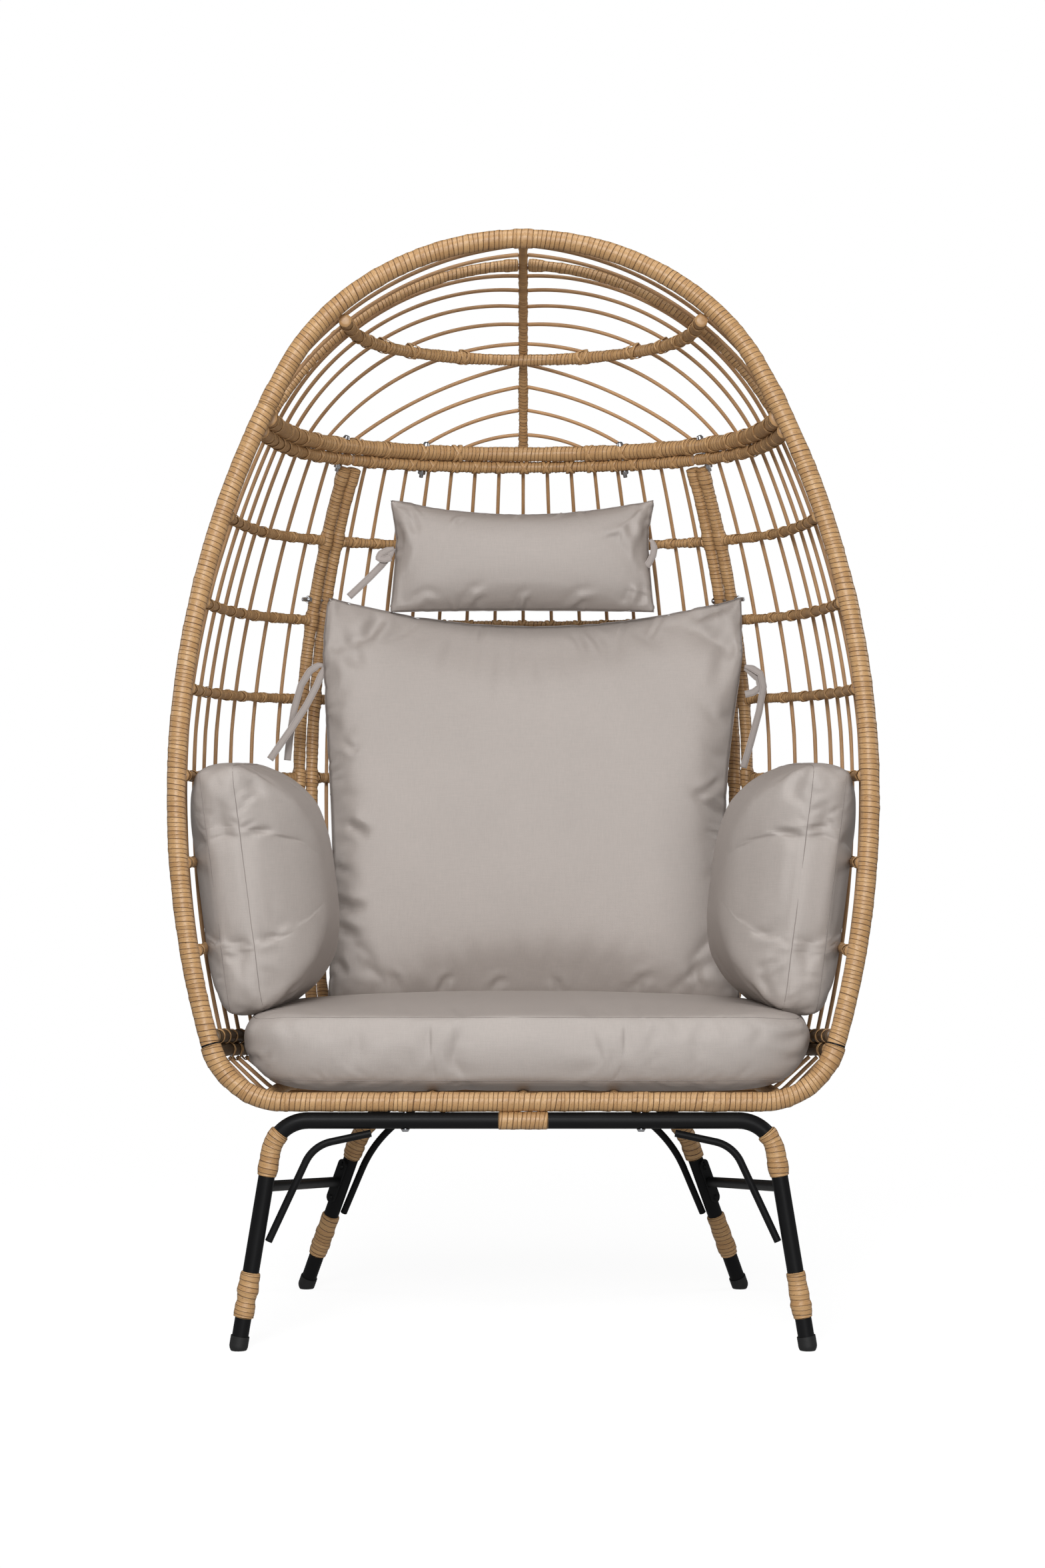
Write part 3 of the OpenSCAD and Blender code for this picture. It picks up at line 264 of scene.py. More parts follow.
def bent_path(points: Sequence[Sequence[float]], bend: float) -> Points:
    """A run of straight lines with a round fillet at each inner point."""
    pts = [np.asarray(p, float) for p in points]
    out = [pts[0][None]]
    for a, p, b in zip(pts, pts[1:], pts[2:]):
        u, w = unit(a - p), unit(b - p)
        half = math.acos(float(u @ w)) / 2
        t = bend / math.tan(half)
        middle = p + (bend / math.sin(half) - bend) * unit(u + w)
        out.append(arc_through(p + t * u, middle, p + t * w, 24))
    out.append(pts[-1][None])
    return np.vstack(out)


@dataclass(frozen=True)
class Plan:
    """A level curve of three arcs on each side: side, corner and back."""

    half_w: float
    r_side: float
    r_corner: float
    turn_side: float
    turn_corner: float

    def arcs(self) -> tuple[Points, Points]:
        """Centres and radii of the three arcs."""
        a = np.array([self.half_w - self.r_side, 0.0])
        b = a + (self.r_side - self.r_corner) * turned(self.turn_side)
        r_back = self.r_corner + b[0] / cosd(self.turn_corner)
        c = np.array([0.0, b[1] + (self.r_corner - r_back) * sind(self.turn_corner)])
        return np.array([a, b, c]), np.array([self.r_side, self.r_corner, r_back])

    def point(self, f: float | Points) -> Points:
        """Point at a heading, 0 at the right and 180 at the left."""
        f = np.asarray(f, float)
        g = np.minimum(f, 180 - f)
        pick = np.where(g <= self.turn_side, 0, np.where(g <= self.turn_corner, 1, 2))
        centres, radii = self.arcs()
        p = centres[pick] + radii[pick][..., None] * np.stack([cosd(g), sind(g)], -1)
        p[..., 0] *= np.where(f > 90, -1.0, 1.0)
        return p

    def half_width_at(self, y: float, scale: float, out: float) -> float:
        """Half width of the scaled plan, widened by out, at a distance behind its front."""
        centres, radii = self.arcs()
        y1 = scale * centres[0][1] + (scale * radii[0] + out) * sind(self.turn_side)
        y2 = scale * centres[1][1] + (scale * radii[1] + out) * sind(self.turn_corner)
        i = 0 if y <= y1 else 1 if y <= y2 else 2
        inner = (scale * radii[i] + out) ** 2 - (y - scale * centres[i][1]) ** 2
        return float(scale * centres[i][0] + math.sqrt(max(0.0, inner)))


class Chair:
    """Centrelines of every tube and rod, in millimetres, centred on the depth."""

    def __init__(self) -> None:
        s = S
        self.rim_half_w = s.overall_w / 2 - s.rim_r
        self.side_c = np.array([self.rim_half_w - s.side_r, s.widest_v])
        drop = s.widest_v - s.corner_r
        self.corner_c = np.array(
            [self.side_c[0] + math.sqrt((s.side_r - s.corner_r) ** 2 - drop**2), s.corner_r]
        )
        self.corner_at = -math.degrees(math.asin(drop / (s.side_r - s.corner_r)))
        self.shoulder_c = self.side_c + (s.side_r - s.shoulder_r) * turned(s.shoulder_at)
        h = s.rim_rise - self.shoulder_c[1]
        self.crown_r = (self.shoulder_c[0] ** 2 + h * h - s.shoulder_r**2) / (2 * (h - s.shoulder_r))
        self.crown_c = np.array([0.0, s.rim_rise - self.crown_r])
        self.crown_at = math.degrees(math.atan2(self.shoulder_c[1] - self.crown_c[1], self.shoulder_c[0]))
        self.joint_at = math.degrees(math.asin((s.joint_v - s.widest_v) / s.side_r))
        self.plan = Plan(
            self.rim_half_w - s.shell_in, s.plan_side_r, s.plan_corner_r, s.plan_side_turn, s.plan_corner_turn
        )
        self.hoop = Plan(
            s.hoop_half_w, s.hoop_side_r, s.hoop_corner_r, s.hoop_side_turn, s.hoop_corner_turn
        )
        centres, radii = self.plan.arcs()
        self.back_c, self.back_r = centres[2], float(radii[2])
        self.side_len = math.radians(s.plan_side_r * s.plan_side_turn)
        self.corner_len = math.radians(s.plan_corner_r * (s.plan_corner_turn - s.plan_side_turn))
        self.back_len = math.radians(self.back_r * (90 - s.plan_corner_turn))
        edge = self.side_len + self.corner_len
        self.side_post_f = self.heading(edge - s.post_pitch / 2)
        self.back_post_f = self.heading(edge + s.post_pitch / 2)
        self.side_post_l = edge - s.post_pitch / 2
        self.edge_s = self.level_scale(s.bottom_rail_z)
        self.edge_y = self.plane_y(s.bottom_rail_z)
        top_z = s.bar_z + s.rim_rise * cosd(s.lean)
        self.spine_c = np.array([self.plane_y(top_z) + s.spine_behind, top_z - s.spine_curve])
        self.edge_drop = 2 * s.edge_rail_r + s.gap
        self.edge_out = s.edge_rail_r + s.rod_r + s.touch + s.edge_rod_room
        self.floor_scale = s.floor_half_w / self.plan.half_w
        self.floor_rail_z = s.bar_z + s.rim_r - s.floor_rail_r + 0.4
        self.seat_rod_z = self.floor_rail_z - s.floor_rail_r - s.touch - s.rod_r
        self.cross_z = s.bar_z - s.rim_r - s.wrap_bump - s.leg_r + 0.6
        self.rear_cross_z = self.floor_rail_z - s.floor_rail_r - s.gap - s.leg_r
        self.rear_cross_y = self.floor_back(s.base_bolt_x)
        inner = s.spine_curve - s.spine_r - s.hoop_r - 2 * s.touch
        low_z = s.hoop_z - 350 * math.tan(math.radians(s.hoop_tilt))
        hoop_centres, hoop_radii = self.hoop.arcs()
        self.hoop_y0 = self.plane_y(s.hoop_z)
        self.hoop_front = (
            self.spine_c[0]
            + math.sqrt(inner**2 - (low_z - self.spine_c[1]) ** 2)
            - hoop_centres[2][1]
            - hoop_radii[2]
        )

    # -- the basket's surface
    def plane_y(self, z: float) -> float:
        """Depth of the leaning rim plane at a height."""
        return (z - S.bar_z) * math.tan(math.radians(S.lean))

    def rim_half(self, z: float) -> float:
        """Half width of the rim at a height."""
        v = (z - S.bar_z) / cosd(S.lean) - self.side_c[1]
        return float(self.side_c[0] + math.sqrt(S.side_r**2 - v**2))

    def level_scale(self, z: float) -> float:
        """Scale of the plan at a height."""
        return (self.rim_half(z) - S.shell_in) / self.plan.half_w

    def heading(self, length: float) -> float:
        """Heading at a length along the plan from its front."""
        if length <= self.side_len:
            return math.degrees(length / S.plan_side_r)
        length -= self.side_len
        if length <= self.corner_len:
            return S.plan_side_turn + math.degrees(length / S.plan_corner_r)
        return S.plan_corner_turn + math.degrees((length - self.corner_len) / self.back_r)

    def shell(self, f: float, z: float, out: float = 0.0) -> Points:
        """Point on the basket at a heading and a height."""
        p = self.level_scale(z) * self.plan.point(f) + out * turned(f)
        return np.array([p[0], self.plane_y(z) + p[1], z])

    def falling(self, p: Points, drop: float = 0.0) -> Points:
        """Points of the plane that falls towards the back."""
        t = S.seat_tilt
        return np.stack(
            [
                p[..., 0],
                self.edge_y + p[..., 1] * cosd(t) - drop * sind(t),
                S.bottom_rail_z - p[..., 1] * sind(t) - drop * cosd(t),
            ],
            -1,
        )

    def edge(self, f: float, out: float, drop: float = 0.0) -> Points:
        """Point near the basket's lower edge."""
        return self.falling(self.edge_s * self.plan.point(f) + out * turned(f), drop)

    def floor_back(self, x: float) -> float:
        """Depth of the seat's floor rail at a distance from the middle."""
        r = self.floor_scale * self.back_r
        return self.floor_scale * self.back_c[1] + math.sqrt(r * r - x * x)

    # -- rims
    def on_rim(self, c: Points, r: float, a0: float, a1: float) -> Points:
        """An arc in the leaning rim plane."""
        a = np.linspace(a0, a1, max(8, int(abs(math.radians(a1 - a0)) * r / 4)))
        x, v = c[0] + r * cosd(a), c[1] + r * sind(a)
        return np.stack([x, v * sind(S.lean), S.bar_z + v * cosd(S.lean)], -1)

    def canopy_rim(self) -> Points:
        """The rim's upper part, from the right joint over the crown to the left one."""
        start = self.joint_at + math.degrees(S.gap / S.side_r)
        half = [
            self.on_rim(self.side_c, S.side_r, start, S.shoulder_at),
            self.on_rim(self.shoulder_c, S.shoulder_r, S.shoulder_at, self.crown_at)[1:],
            self.on_rim(self.crown_c, self.crown_r, self.crown_at, 90)[1:],
        ]
        right = np.vstack(half)
        return np.vstack([right, mirrored(right)[::-1][1:]])

    def side_rim(self) -> Points:
        """The right side panel's rim."""
        start = self.corner_at + math.degrees(3.3 / S.side_r)
        return self.on_rim(self.side_c, S.side_r, start, self.joint_at)

    def front_rim(self) -> Points:
        """The seat's front bar with its two round corners, from left to right."""
        right = self.on_rim(self.corner_c, S.corner_r, -90, self.corner_at)
        return np.vstack([mirrored(right)[::-1], right])

    # -- level rails
    def level(self, z: float, f0: float, f1: float) -> Points:
        """A rail on the basket at one height."""
        p = self.level_scale(z) * self.plan.point(np.linspace(f0, f1, 160))
        return np.stack([p[:, 0], self.plane_y(z) + p[:, 1], np.full(160, z)], -1)

    def start_heading(self, scale: float, start: float) -> float:
        """Heading at which a rail leaves the rim."""
        return math.degrees(math.asin(start / (scale * S.plan_side_r)))

    def side_level(self, z: float, start: float, f_end: float) -> Points:
        """The right half of a side panel's rail, from the rim to the post."""
        return self.level(z, self.start_heading(self.level_scale(z), start), f_end)

    def edge_level(self, f0: float, f1: float, drop: float = 0.0) -> Points:
        """A rail in the falling plane."""
        p = self.edge_s * self.plan.point(np.linspace(f0, f1, 160))
        return self.falling(p, drop)

    def rail_heights(self) -> list[float]:
        """Heights of the middle rails."""
        return [S.top_rail_z - i * S.rail_step for i in range(1, S.mid_rails + 1)]

    # -- posts and rods
    def upright(self, f: Sequence[float], z_top: float, drop: float, outs: Sequence[float]) -> Points:
        """A rod or post in two arcs; f and outs hold its foot, middle and top."""
        z_mid = (S.bottom_rail_z + z_top) / 2
        mid = self.shell(f[1], z_mid, outs[1])
        low = self.shell((f[0] + 3 * f[1]) / 4, (S.bottom_rail_z + z_mid) / 2, outs[1])
        high = self.shell(f[1] + 0.35 * (f[2] - f[1]), (z_mid + z_top) / 2, outs[1])
        a = arc_through(self.edge(f[0], outs[0], drop), low, mid)
        b = arc_through(mid, high, self.shell(f[2], z_top, outs[2]))
        return np.vstack([a, b[1:]])

    def post(self, f: float) -> Points:
        """A post of a side or back panel."""
        return self.upright([f] * 3, S.top_rail_z - S.edge_rail_r - 4.2, 16 - S.edge_rail_r, [0] * 3)

    def rod(self, f: Sequence[float], outs: Sequence[float]) -> Points:
        """A rod that ends just past the panel's top and bottom rails."""
        return self.upright(f, S.top_rail_z + S.rod_past, S.rod_past, outs)

    def side_rod_paths(self) -> list[Points]:
        """The right side panel's rods."""
        outs = [self.edge_out, S.mid_rail_r + S.rod_r + S.touch + S.side_rod_room, self.edge_out]
        pitch = (self.side_post_l - S.side_rod_start - S.side_rod_end) / (S.side_rods - 1)
        paths = []
        for i in range(S.side_rods):
            l = S.side_rod_start + i * pitch
            fan = S.rod_fan * (1 - l / self.side_post_l)
            f = [self.heading(l + 0.2 * fan), self.heading(l), self.heading(l + fan)]
            paths.append(self.rod(f, outs))
        return paths

    def back_rod_paths(self) -> list[Points]:
        """The back panel's rods, the middle one first."""
        outs = [self.edge_out, S.mid_rail_r + S.rod_r + S.touch + S.back_rod_room, self.edge_out]
        total = self.side_len + self.corner_len + self.back_len
        paths = [self.rod([90] * 3, outs)]
        for i in range(1, S.back_rods + 1):
            f = self.heading(total - i * S.back_rod_pitch)
            right = self.rod([f] * 3, outs)
            paths += [right, mirrored(right)]
        return paths

    # -- canopy
    def spine_point(self, a: float) -> Points:
        """Point on the spine at an angle back from its crown."""
        y, z = self.spine_c + S.spine_curve * np.array([sind(a), cosd(a)])
        return np.array([0.0, y, z])

    def spine(self) -> Points:
        """The canopy's middle tube."""
        a0 = math.degrees(math.asin((S.rim_r + S.wrap_bump + 3 - S.spine_behind) / S.spine_curve))
        rise = S.canopy_rail_z + S.canopy_rail_r * 0.7 - self.spine_c[1]
        a1 = math.degrees(math.acos(rise / S.spine_curve))
        return np.array([self.spine_point(a) for a in np.linspace(a0, a1, 90)])

    def hoop_point(self, f: float) -> Points:
        """Point on the hoop inside the canopy."""
        p = self.hoop.point(f)
        y = self.hoop_front + p[..., 1] - self.hoop_y0
        return np.stack(
            [p[..., 0], self.hoop_y0 + y * cosd(S.hoop_tilt), S.hoop_z - y * sind(S.hoop_tilt)], -1
        )

    def hoop_path(self) -> Points:
        """The hoop inside the canopy."""
        reach = self.hoop_y0 + S.rim_r + 1 - self.hoop_front
        f0 = math.degrees(math.asin(reach / S.hoop_side_r))
        return self.hoop_point(np.linspace(f0, 180 - f0, 200))

    def rib_path(self, a: float, r: float) -> Points:
        """A canopy rib on the right, from outside the lower rail to the spine."""
        top = self.spine_point(a) + np.array([S.spine_r + S.gap + r * 0.25, 0, 0])
        spine = self.spine_point(a)
        z = S.canopy_rail_z + 2
        scale = self.level_scale(z)
        out = S.canopy_rail_r + r + S.touch + S.rib_clear
        around = (scale * self.back_r + out) ** 2 - S.last_foot_x**2
        last = scale * self.back_c[1] + math.sqrt(around)
        lean = math.tan(math.radians(S.lean))
        y = min(spine[1] - (spine[2] - z) * lean, self.plane_y(z) + last)
        foot = np.array([self.plan.half_width_at(y - self.plane_y(z), scale, out), y, z])
        if a < S.last_hoop_rib:
            f = looked_up(a, RIBS_ON_HOOP)
            n = unit(np.cross([sind(f), -cosd(f), 0], top - foot))
            n = -n if n[2] < 0 else n
            middle = self.hoop_point(f) + (S.hoop_r + r + S.touch + 0.5) * n
        else:
            up = np.array([0, sind(S.lean), cosd(S.lean)])
            d = top - foot
            bulge = S.rib_bulge * ((d @ up) * np.array([1.0, 0, 0]) - d[0] * up)
            middle = (foot + top) / 2 + bulge + np.array([0, 3, 0])
        return arc_through(foot, middle, top, 90)

    def rib_angles(self) -> list[float]:
        """Where the thin ribs meet the spine."""
        first = [S.first_rib, (S.first_rib + S.arch_at) / 2 + 0.3]
        return first + [S.rib_start + i * S.rib_step for i in range(S.ribs)]

    # -- seat
    def seat_rail_z(self, y: float) -> float:
        """Height of the seat's upper rail at a depth."""
        fall = (y - self.edge_y) * math.tan(math.radians(S.seat_tilt))
        return S.bottom_rail_z - self.edge_drop * cosd(S.seat_tilt) - fall

    def seat_rail_x(self, y: float) -> float:
        """Half width of the seat's upper rail at a depth."""
        return self.plan.half_width_at(y - self.edge_y, self.edge_s, 0)

    def cross_rod_paths(self) -> list[Points]:
        """The rods that run down, across and up again below the seat."""
        paths = []
        for i in range(S.seat_rods):
            y = S.rim_r + S.wrap_bump + S.seat_rod_pitch * (i + 0.8)
            z = self.seat_rail_z(y) - S.edge_rail_r - S.touch - 1.8
            x = self.seat_rail_x(y) - 2
            low, turn = self.seat_rod_z, x - S.seat_rod_slope
            corners = [[-x, y, z], [-turn, y, low], [turn, y, low], [x, y, z]]
            paths.append(bent_path(corners, S.seat_rod_bend))
        return paths

    def rear_rod_paths(self) -> list[Points]:
        """The rods between the seat's two rear rails."""
        paths = []
        for i in range(-S.rear_rods, S.rear_rods + 1):
            f = 90 - i * S.rear_rod_turn
            d = np.array([cosd(f), sind(f), 0])
            reach = self.back_r * self.floor_scale + S.floor_rail_r + S.touch
            low = np.array([0, self.back_c[1] * self.floor_scale, self.floor_rail_z - 3]) + reach * d
            high = self.edge(f, -1, self.edge_drop + S.edge_rail_r + S.rod_r + S.touch)
            paths.append(arc_through(low, (low + high) / 2 - np.array([0, 0, 5]), high))
        return paths

    def floor_rail(self) -> Points:
        """The seat's floor rail."""
        f0 = self.start_heading(self.floor_scale, S.rim_r + 1)
        p = self.floor_scale * self.plan.point(np.linspace(f0, 180 - f0, 240))
        return np.stack([p[:, 0], p[:, 1], np.full(240, self.floor_rail_z)], -1)

    def long_rails(self) -> list[Points]:
        """The three straight rails under the seat."""
        paths = []
        z = self.floor_rail_z
        for x in (-S.long_rail_x, 0.0, S.long_rail_x):
            y = self.floor_back(abs(x) + S.floor_rail_r) - S.floor_rail_r - S.gap
            paths.append(np.linspace([x, S.rim_r + 0.5, z], [x, y, z], 60))
        return paths

    # -- base
    def front_leg(self, z: float) -> Points:
        """Point on the right front leg."""
        return np.array([S.front_foot_x + (S.front_top_x - S.front_foot_x) * z / self.cross_z, 0, z])

    def rear_leg(self, z: float) -> Points:
        """Point on the right rear leg."""
        share = z / self.rear_cross_z
        back = S.foot_span - (S.foot_span - self.rear_cross_y) * share
        return np.array([S.rear_foot_x + (S.rear_top_x - S.rear_foot_x) * share, back, z])

    def leg_wraps(self) -> list[Points]:
        """The right half's four bindings round the leg tubes."""
        front = [[0, 0, self.cross_z], [S.front_top_x, 0, self.cross_z]]
        rear = [[x, self.rear_cross_y, self.rear_cross_z] for x in (0, S.rear_top_x)]
        out = []
        for tops, leg, heights, bend, turn in (
            (front, self.front_leg, S.front_wrap_z, S.front_bend, 33),
            (rear, self.rear_leg, S.rear_wrap_z, S.rear_bend, 18),
        ):
            low, foot, end = (leg(z) for z in heights)
            path = bent_path([*tops, end], bend)
            track = Track(path)
            start = track.nearest(path[-2]) - bend * math.radians(turn)
            out.append(track.between(start, track.nearest(low)))
            out.append(track.between(track.nearest(foot), track.length))
        return out


class Track:
    """A path measured by its length."""

    def __init__(self, points: Points) -> None:
        points = np.asarray(points, float)
        keep = np.r_[True, np.linalg.norm(np.diff(points, axis=0), axis=1) > 1e-6]
        self.points = points[keep]
        self.s = np.r_[0, np.cumsum(np.linalg.norm(np.diff(self.points, axis=0), axis=1))]
        self.length = float(self.s[-1])

    def at(self, s: Points) -> Points:
        """Points at lengths along the path."""
        return np.stack([np.interp(s, self.s, self.points[:, i]) for i in range(3)], -1)

    def heading(self, s: Points) -> Points:
        """Unit tangents at lengths along the path."""
        d = min(4.0, self.length / 4)
        lo = np.clip(np.asarray(s) - d, 0, self.length)
        hi = np.clip(np.asarray(s) + d, 0, self.length)
        return unit(self.at(hi) - self.at(lo))

    def nearest(self, p: Points) -> float:
        """Length along the path at the point nearest to p."""
        s = np.linspace(0, self.length, 2000)
        return float(s[np.argmin(np.linalg.norm(self.at(s) - p, axis=1))])

    def between(self, s0: float, s1: float) -> Points:
        """The part of the path between two lengths."""
        return self.at(np.linspace(s0, s1, max(12, int(abs(s1 - s0) / 3))))


# ---------- meshes


@dataclass
class Skin:
    """Vertices, faces and face-corner coordinates of a mesh in the making."""

    verts: list[Points] = field(default_factory=list)
    faces: list[Points] = field(default_factory=list)
    uvs: list[Points] = field(default_factory=list)
    count: int = 0

    def add(self, verts: Points, quads: Points, uv: Points) -> None:
        """Adds a patch of quads with a coordinate pair for each of their corners."""
        self.verts.append(verts.reshape(-1, 3))
        self.faces.append(quads + self.count)
        self.uvs.append(uv.reshape(-1, 2))
        self.count += len(self.verts[-1])

    def mesh(self, name: str) -> Mesh:
        """Builds the mesh in metres."""
        verts = np.vstack(self.verts) * MM
        faces = np.vstack(self.faces)
        uvs = np.vstack(self.uvs)
        mesh = bpy.data.meshes.new(name)
        mesh.vertices.add(len(verts))
        mesh.vertices.foreach_set("co", verts.astype(np.float32).ravel())
        mesh.loops.add(faces.size)
        mesh.loops.foreach_set("vertex_index", faces.astype(np.int32).ravel())
        mesh.polygons.add(len(faces))
        mesh.polygons.foreach_set("loop_start", np.arange(0, faces.size, 4, dtype=np.int32))
        layer = mesh.uv_layers.new(name="wrap")
        layer.data.foreach_set("uv", uvs.astype(np.float32).ravel())
        mesh.update(calc_edges=True)
        mesh.polygons.foreach_set("use_smooth", np.ones(len(faces), bool))
        mesh.validate()
        return mesh


def tube_quads(rows: int, columns: int, ring: bool = False) -> tuple[Points, Points, Points]:
    """Quads between rings of vertices, and the row and column of each quad's corners.

    Args:
        rows: Rows of quads.
        columns: Quads in a row, which closes on itself.
        ring: Whether the last row meets the first one.

    Returns:
        The quads, the rows and the columns.
    """
    i, j = np.meshgrid(np.arange(rows), np.arange(columns), indexing="ij")
    row = np.stack([i, i, i + 1, i + 1], -1)
    column = np.stack([j, j + 1, j + 1, j], -1)
    quads = (row % rows if ring else row) * columns + column % columns
    return quads.reshape(-1, 4), row, column


def face_outwards(mesh: Mesh, close: bool = False) -> None:
    """Turns a mesh's faces outwards, and closes its open ends if asked."""
    bm = bmesh.new()
    bm.from_mesh(mesh)
    if close:
        bmesh.ops.holes_fill(bm, edges=bm.edges, sides=0)
    bmesh.ops.recalc_face_normals(bm, faces=bm.faces)
    bm.to_mesh(mesh)
    bm.free()


# a strip's height across its width, and its end cap's rings: share of the radius and way out
STRIP_PROFILE = ((0, -0.55), (0.1, -0.08), (0.5, 0.12), (0.9, -0.02), (1, -0.55))
CAP_RINGS = ((0.97, 0.0), (0.9, 0.9), (0.55, 1.6), (0.02, 1.8))
STRIP_PITCH = 6.4
FLARE_FADE = 9.0
# how far the coordinates of one tube lie from those of the next, so that no two share a grain
WOUND_STEP, ROD_STEP = 37.0, 97.0


@dataclass(frozen=True)
class Bump:
    """A thicker stretch of binding: place and half length on the tube, height and edge."""

    at: float
    half: float
    height: float
    edge: float = 2.5


@dataclass(frozen=True)
class Tube:
    """A tube or rod to be skinned.

    Args:
        path: Centreline.
        r: Radius of the CAD tube.
        seam: Direction in which the skin's own seam lies.
        pitch: Width of the strip that is wound round it, or 0 for a plain rod.
        bumps: Thicker stretches.
        flare: Extra radius at the start and the end, which fades along the tube.
        rough: How far the strips stand out from one another.
        columns: Quads round it.
    """

    path: Points
    r: float
    seam: Triple = (0, 0, 1)
    pitch: float = STRIP_PITCH
    bumps: tuple[Bump, ...] = ()
    flare: Pair = (0.0, 0.0)
    rough: float = 1.0
    columns: int = 14

    def radius(self, s: Points, length: float) -> Points:
        """Radius along the tube."""
        r = np.full(np.shape(s), self.r)
        for b in self.bumps:
            r = r + b.height * eased((b.half + b.edge - np.abs(s - b.at)) / b.edge)
        start, end = np.exp(-s / FLARE_FADE), np.exp(-(length - s) / FLARE_FADE)
        return r + self.flare[0] * start + self.flare[1] * end

    def skin(self, skin: Skin, rng: np.random.Generator, number: int) -> None:
        """Adds the tube's skin to a mesh in the making."""
        if self.pitch > 0:
            self._wound(skin, rng, number)
        else:
            self._plain(skin, rng, number)

    def _place(self, track: Track, s: Points, r: Points, a: Points) -> Points:
        t = track.heading(s)
        d = np.array(self.seam, float)
        n = unit(d - (t @ d)[..., None] * t)
        b = np.cross(t, n)
        w = 2 * np.pi * a
        return track.at(s) + r[..., None] * (np.cos(w)[..., None] * n + np.sin(w)[..., None] * b)

    def _wound(self, skin: Skin, rng: np.random.Generator, number: int) -> None:
        track = Track(self.path)
        n = max(2, int(track.length / self.pitch))
        widths = np.clip(rng.normal(1, 0.2, n), 0.55, 1.5)
        edges = np.r_[0, np.cumsum(widths)] * track.length / widths.sum()
        fracs = np.array([0.0, 0.1, 0.5, 0.9])
        per = len(fracs)
        phi = np.r_[(np.arange(n + 1)[:, None] + fracs).ravel(), n + 1]
        c = self.columns
        a = np.arange(c) / c
        psi = phi[:, None] - a
        s = np.interp(psi.clip(0, n), np.arange(n + 1), edges)
        strip = np.clip(np.floor(psi + 1e-9), 0, n - 1).astype(int)
        wave = rng.normal(0, 0.5, (n + 2, 2))
        at = np.clip(psi, 0, n)
        sway = np.interp(at, np.arange(n + 2), wave[:, 0]) * np.sin(2 * np.pi * a)
        sway = sway + np.interp(at, np.arange(n + 2), wave[:, 1]) * np.cos(2 * np.pi * a)
        s = np.clip(s + sway * self.pitch / STRIP_PITCH, 0, track.length)
        lift = rng.normal(0, 0.2, n).clip(-0.35, 0.45) * self.rough
        frac = psi - np.floor(psi + 1e-9)
        dome = np.interp(frac, *zip(*STRIP_PROFILE))
        knots = max(4, int(track.length / 28))
        slow = np.interp(s, np.linspace(0, track.length, knots), rng.normal(0, 0.22, knots))
        r = self.radius(s, track.length) + lift[strip] + dome * (0.7 + 0.3 * self.rough)
        r = r + slow * self.rough
        verts = self._place(track, s, r, np.broadcast_to(a, s.shape))
        k = np.arange(len(phi) - 1)[:, None] + np.zeros(c, int)
        j = np.zeros((len(phi) - 1, 1), int) + np.arange(c)
        last = j == c - 1
        right = np.where(last, np.maximum(k - per, 0) * c, k * c + j + 1)
        right_up = np.where(last, np.maximum(k + 1 - per, 0) * c, (k + 1) * c + j + 1)
        quads = np.stack([k * c + j, right, right_up, (k + 1) * c + j], -1).reshape(-1, 4)
        flat = s.ravel()
        live = np.ptp(flat[quads], axis=1) > 1e-5
        u = np.stack([j, j + 1, j + 1, j], -1) / c
        v = np.stack([phi[k], phi[k], phi[k + 1], phi[k + 1]], -1) + WOUND_STEP * number
        uv = np.stack([u, v], -1).reshape(-1, 4, 2)
        skin.add(verts, quads[live], uv[live])
        self._caps(skin, track, number)

    def _caps(self, skin: Skin, track: Track, number: int) -> None:
        """Domed ends."""
        c = self.columns
        a = np.arange(c) / c
        for s0, sign in ((0.0, -1.0), (track.length, 1.0)):
            r0 = float(self.radius(np.array([s0]), track.length)[0])
            rings = []
            for share, out in CAP_RINGS:
                ring = self._place(track, np.full(c, s0), np.full(c, r0 * share), a)
                rings.append(ring + sign * min(out, r0 * 0.3) * track.heading(np.array([s0])))
            quads, k, j = tube_quads(len(rings) - 1, c)
            flat = np.stack([j[..., :1] / c, 0.3 + 0.1 * k[..., :1] + WOUND_STEP * number], -1)
            skin.add(np.array(rings), quads if sign > 0 else quads[:, ::-1], np.repeat(flat, 4, axis=2))

    def _plain(self, skin: Skin, rng: np.random.Generator, number: int) -> None:
        track = Track(self.path)
        rings = max(3, int(track.length / 7))
        s1 = np.linspace(0, track.length, rings + 1)
        c = self.columns
        a = np.arange(c) / c
        knots = max(4, int(track.length / 40))
        slow = np.interp(s1, np.linspace(0, track.length, knots), rng.normal(0, 0.1, knots))
        s = s1[:, None] + np.zeros(c)
        r = self.radius(s, track.length) + slow[:, None] - 0.05
        verts = self._place(track, s, r, np.broadcast_to(a, s.shape))
        quads, k, j = tube_quads(rings, c)
        skin.add(verts, quads, np.stack([j / c, s1[k] / 10 + ROD_STEP * number], -1))
        self._caps(skin, track, number)


BEHIND, BESIDE = (0, 1, 0), (1, 0, 0)
Rim = partial(Tube, r=S.rim_r, seam=BEHIND, pitch=6.6, columns=20)
Post = partial(Tube, r=S.post_r, seam=BEHIND, pitch=5.6)
EdgeRail = partial(Tube, r=S.edge_rail_r, pitch=6.0, rough=1.4)
MidRail = partial(Tube, r=S.mid_rail_r, pitch=5.6, rough=1.5, columns=12)
SeatRail = partial(Tube, pitch=6.0, rough=1.3)


def rods(paths: Iterable[Points], seam: Triple = BEHIND) -> list[Tube]:
    """Plain core rods along some paths."""
    return [Tube(p, S.rod_r, seam, 0, columns=10) for p in paths]


def both(paths: Iterable[Points]) -> list[Points]:
    """Paths and their mirror images."""
    paths = list(paths)
    return paths + [mirrored(p) for p in paths]


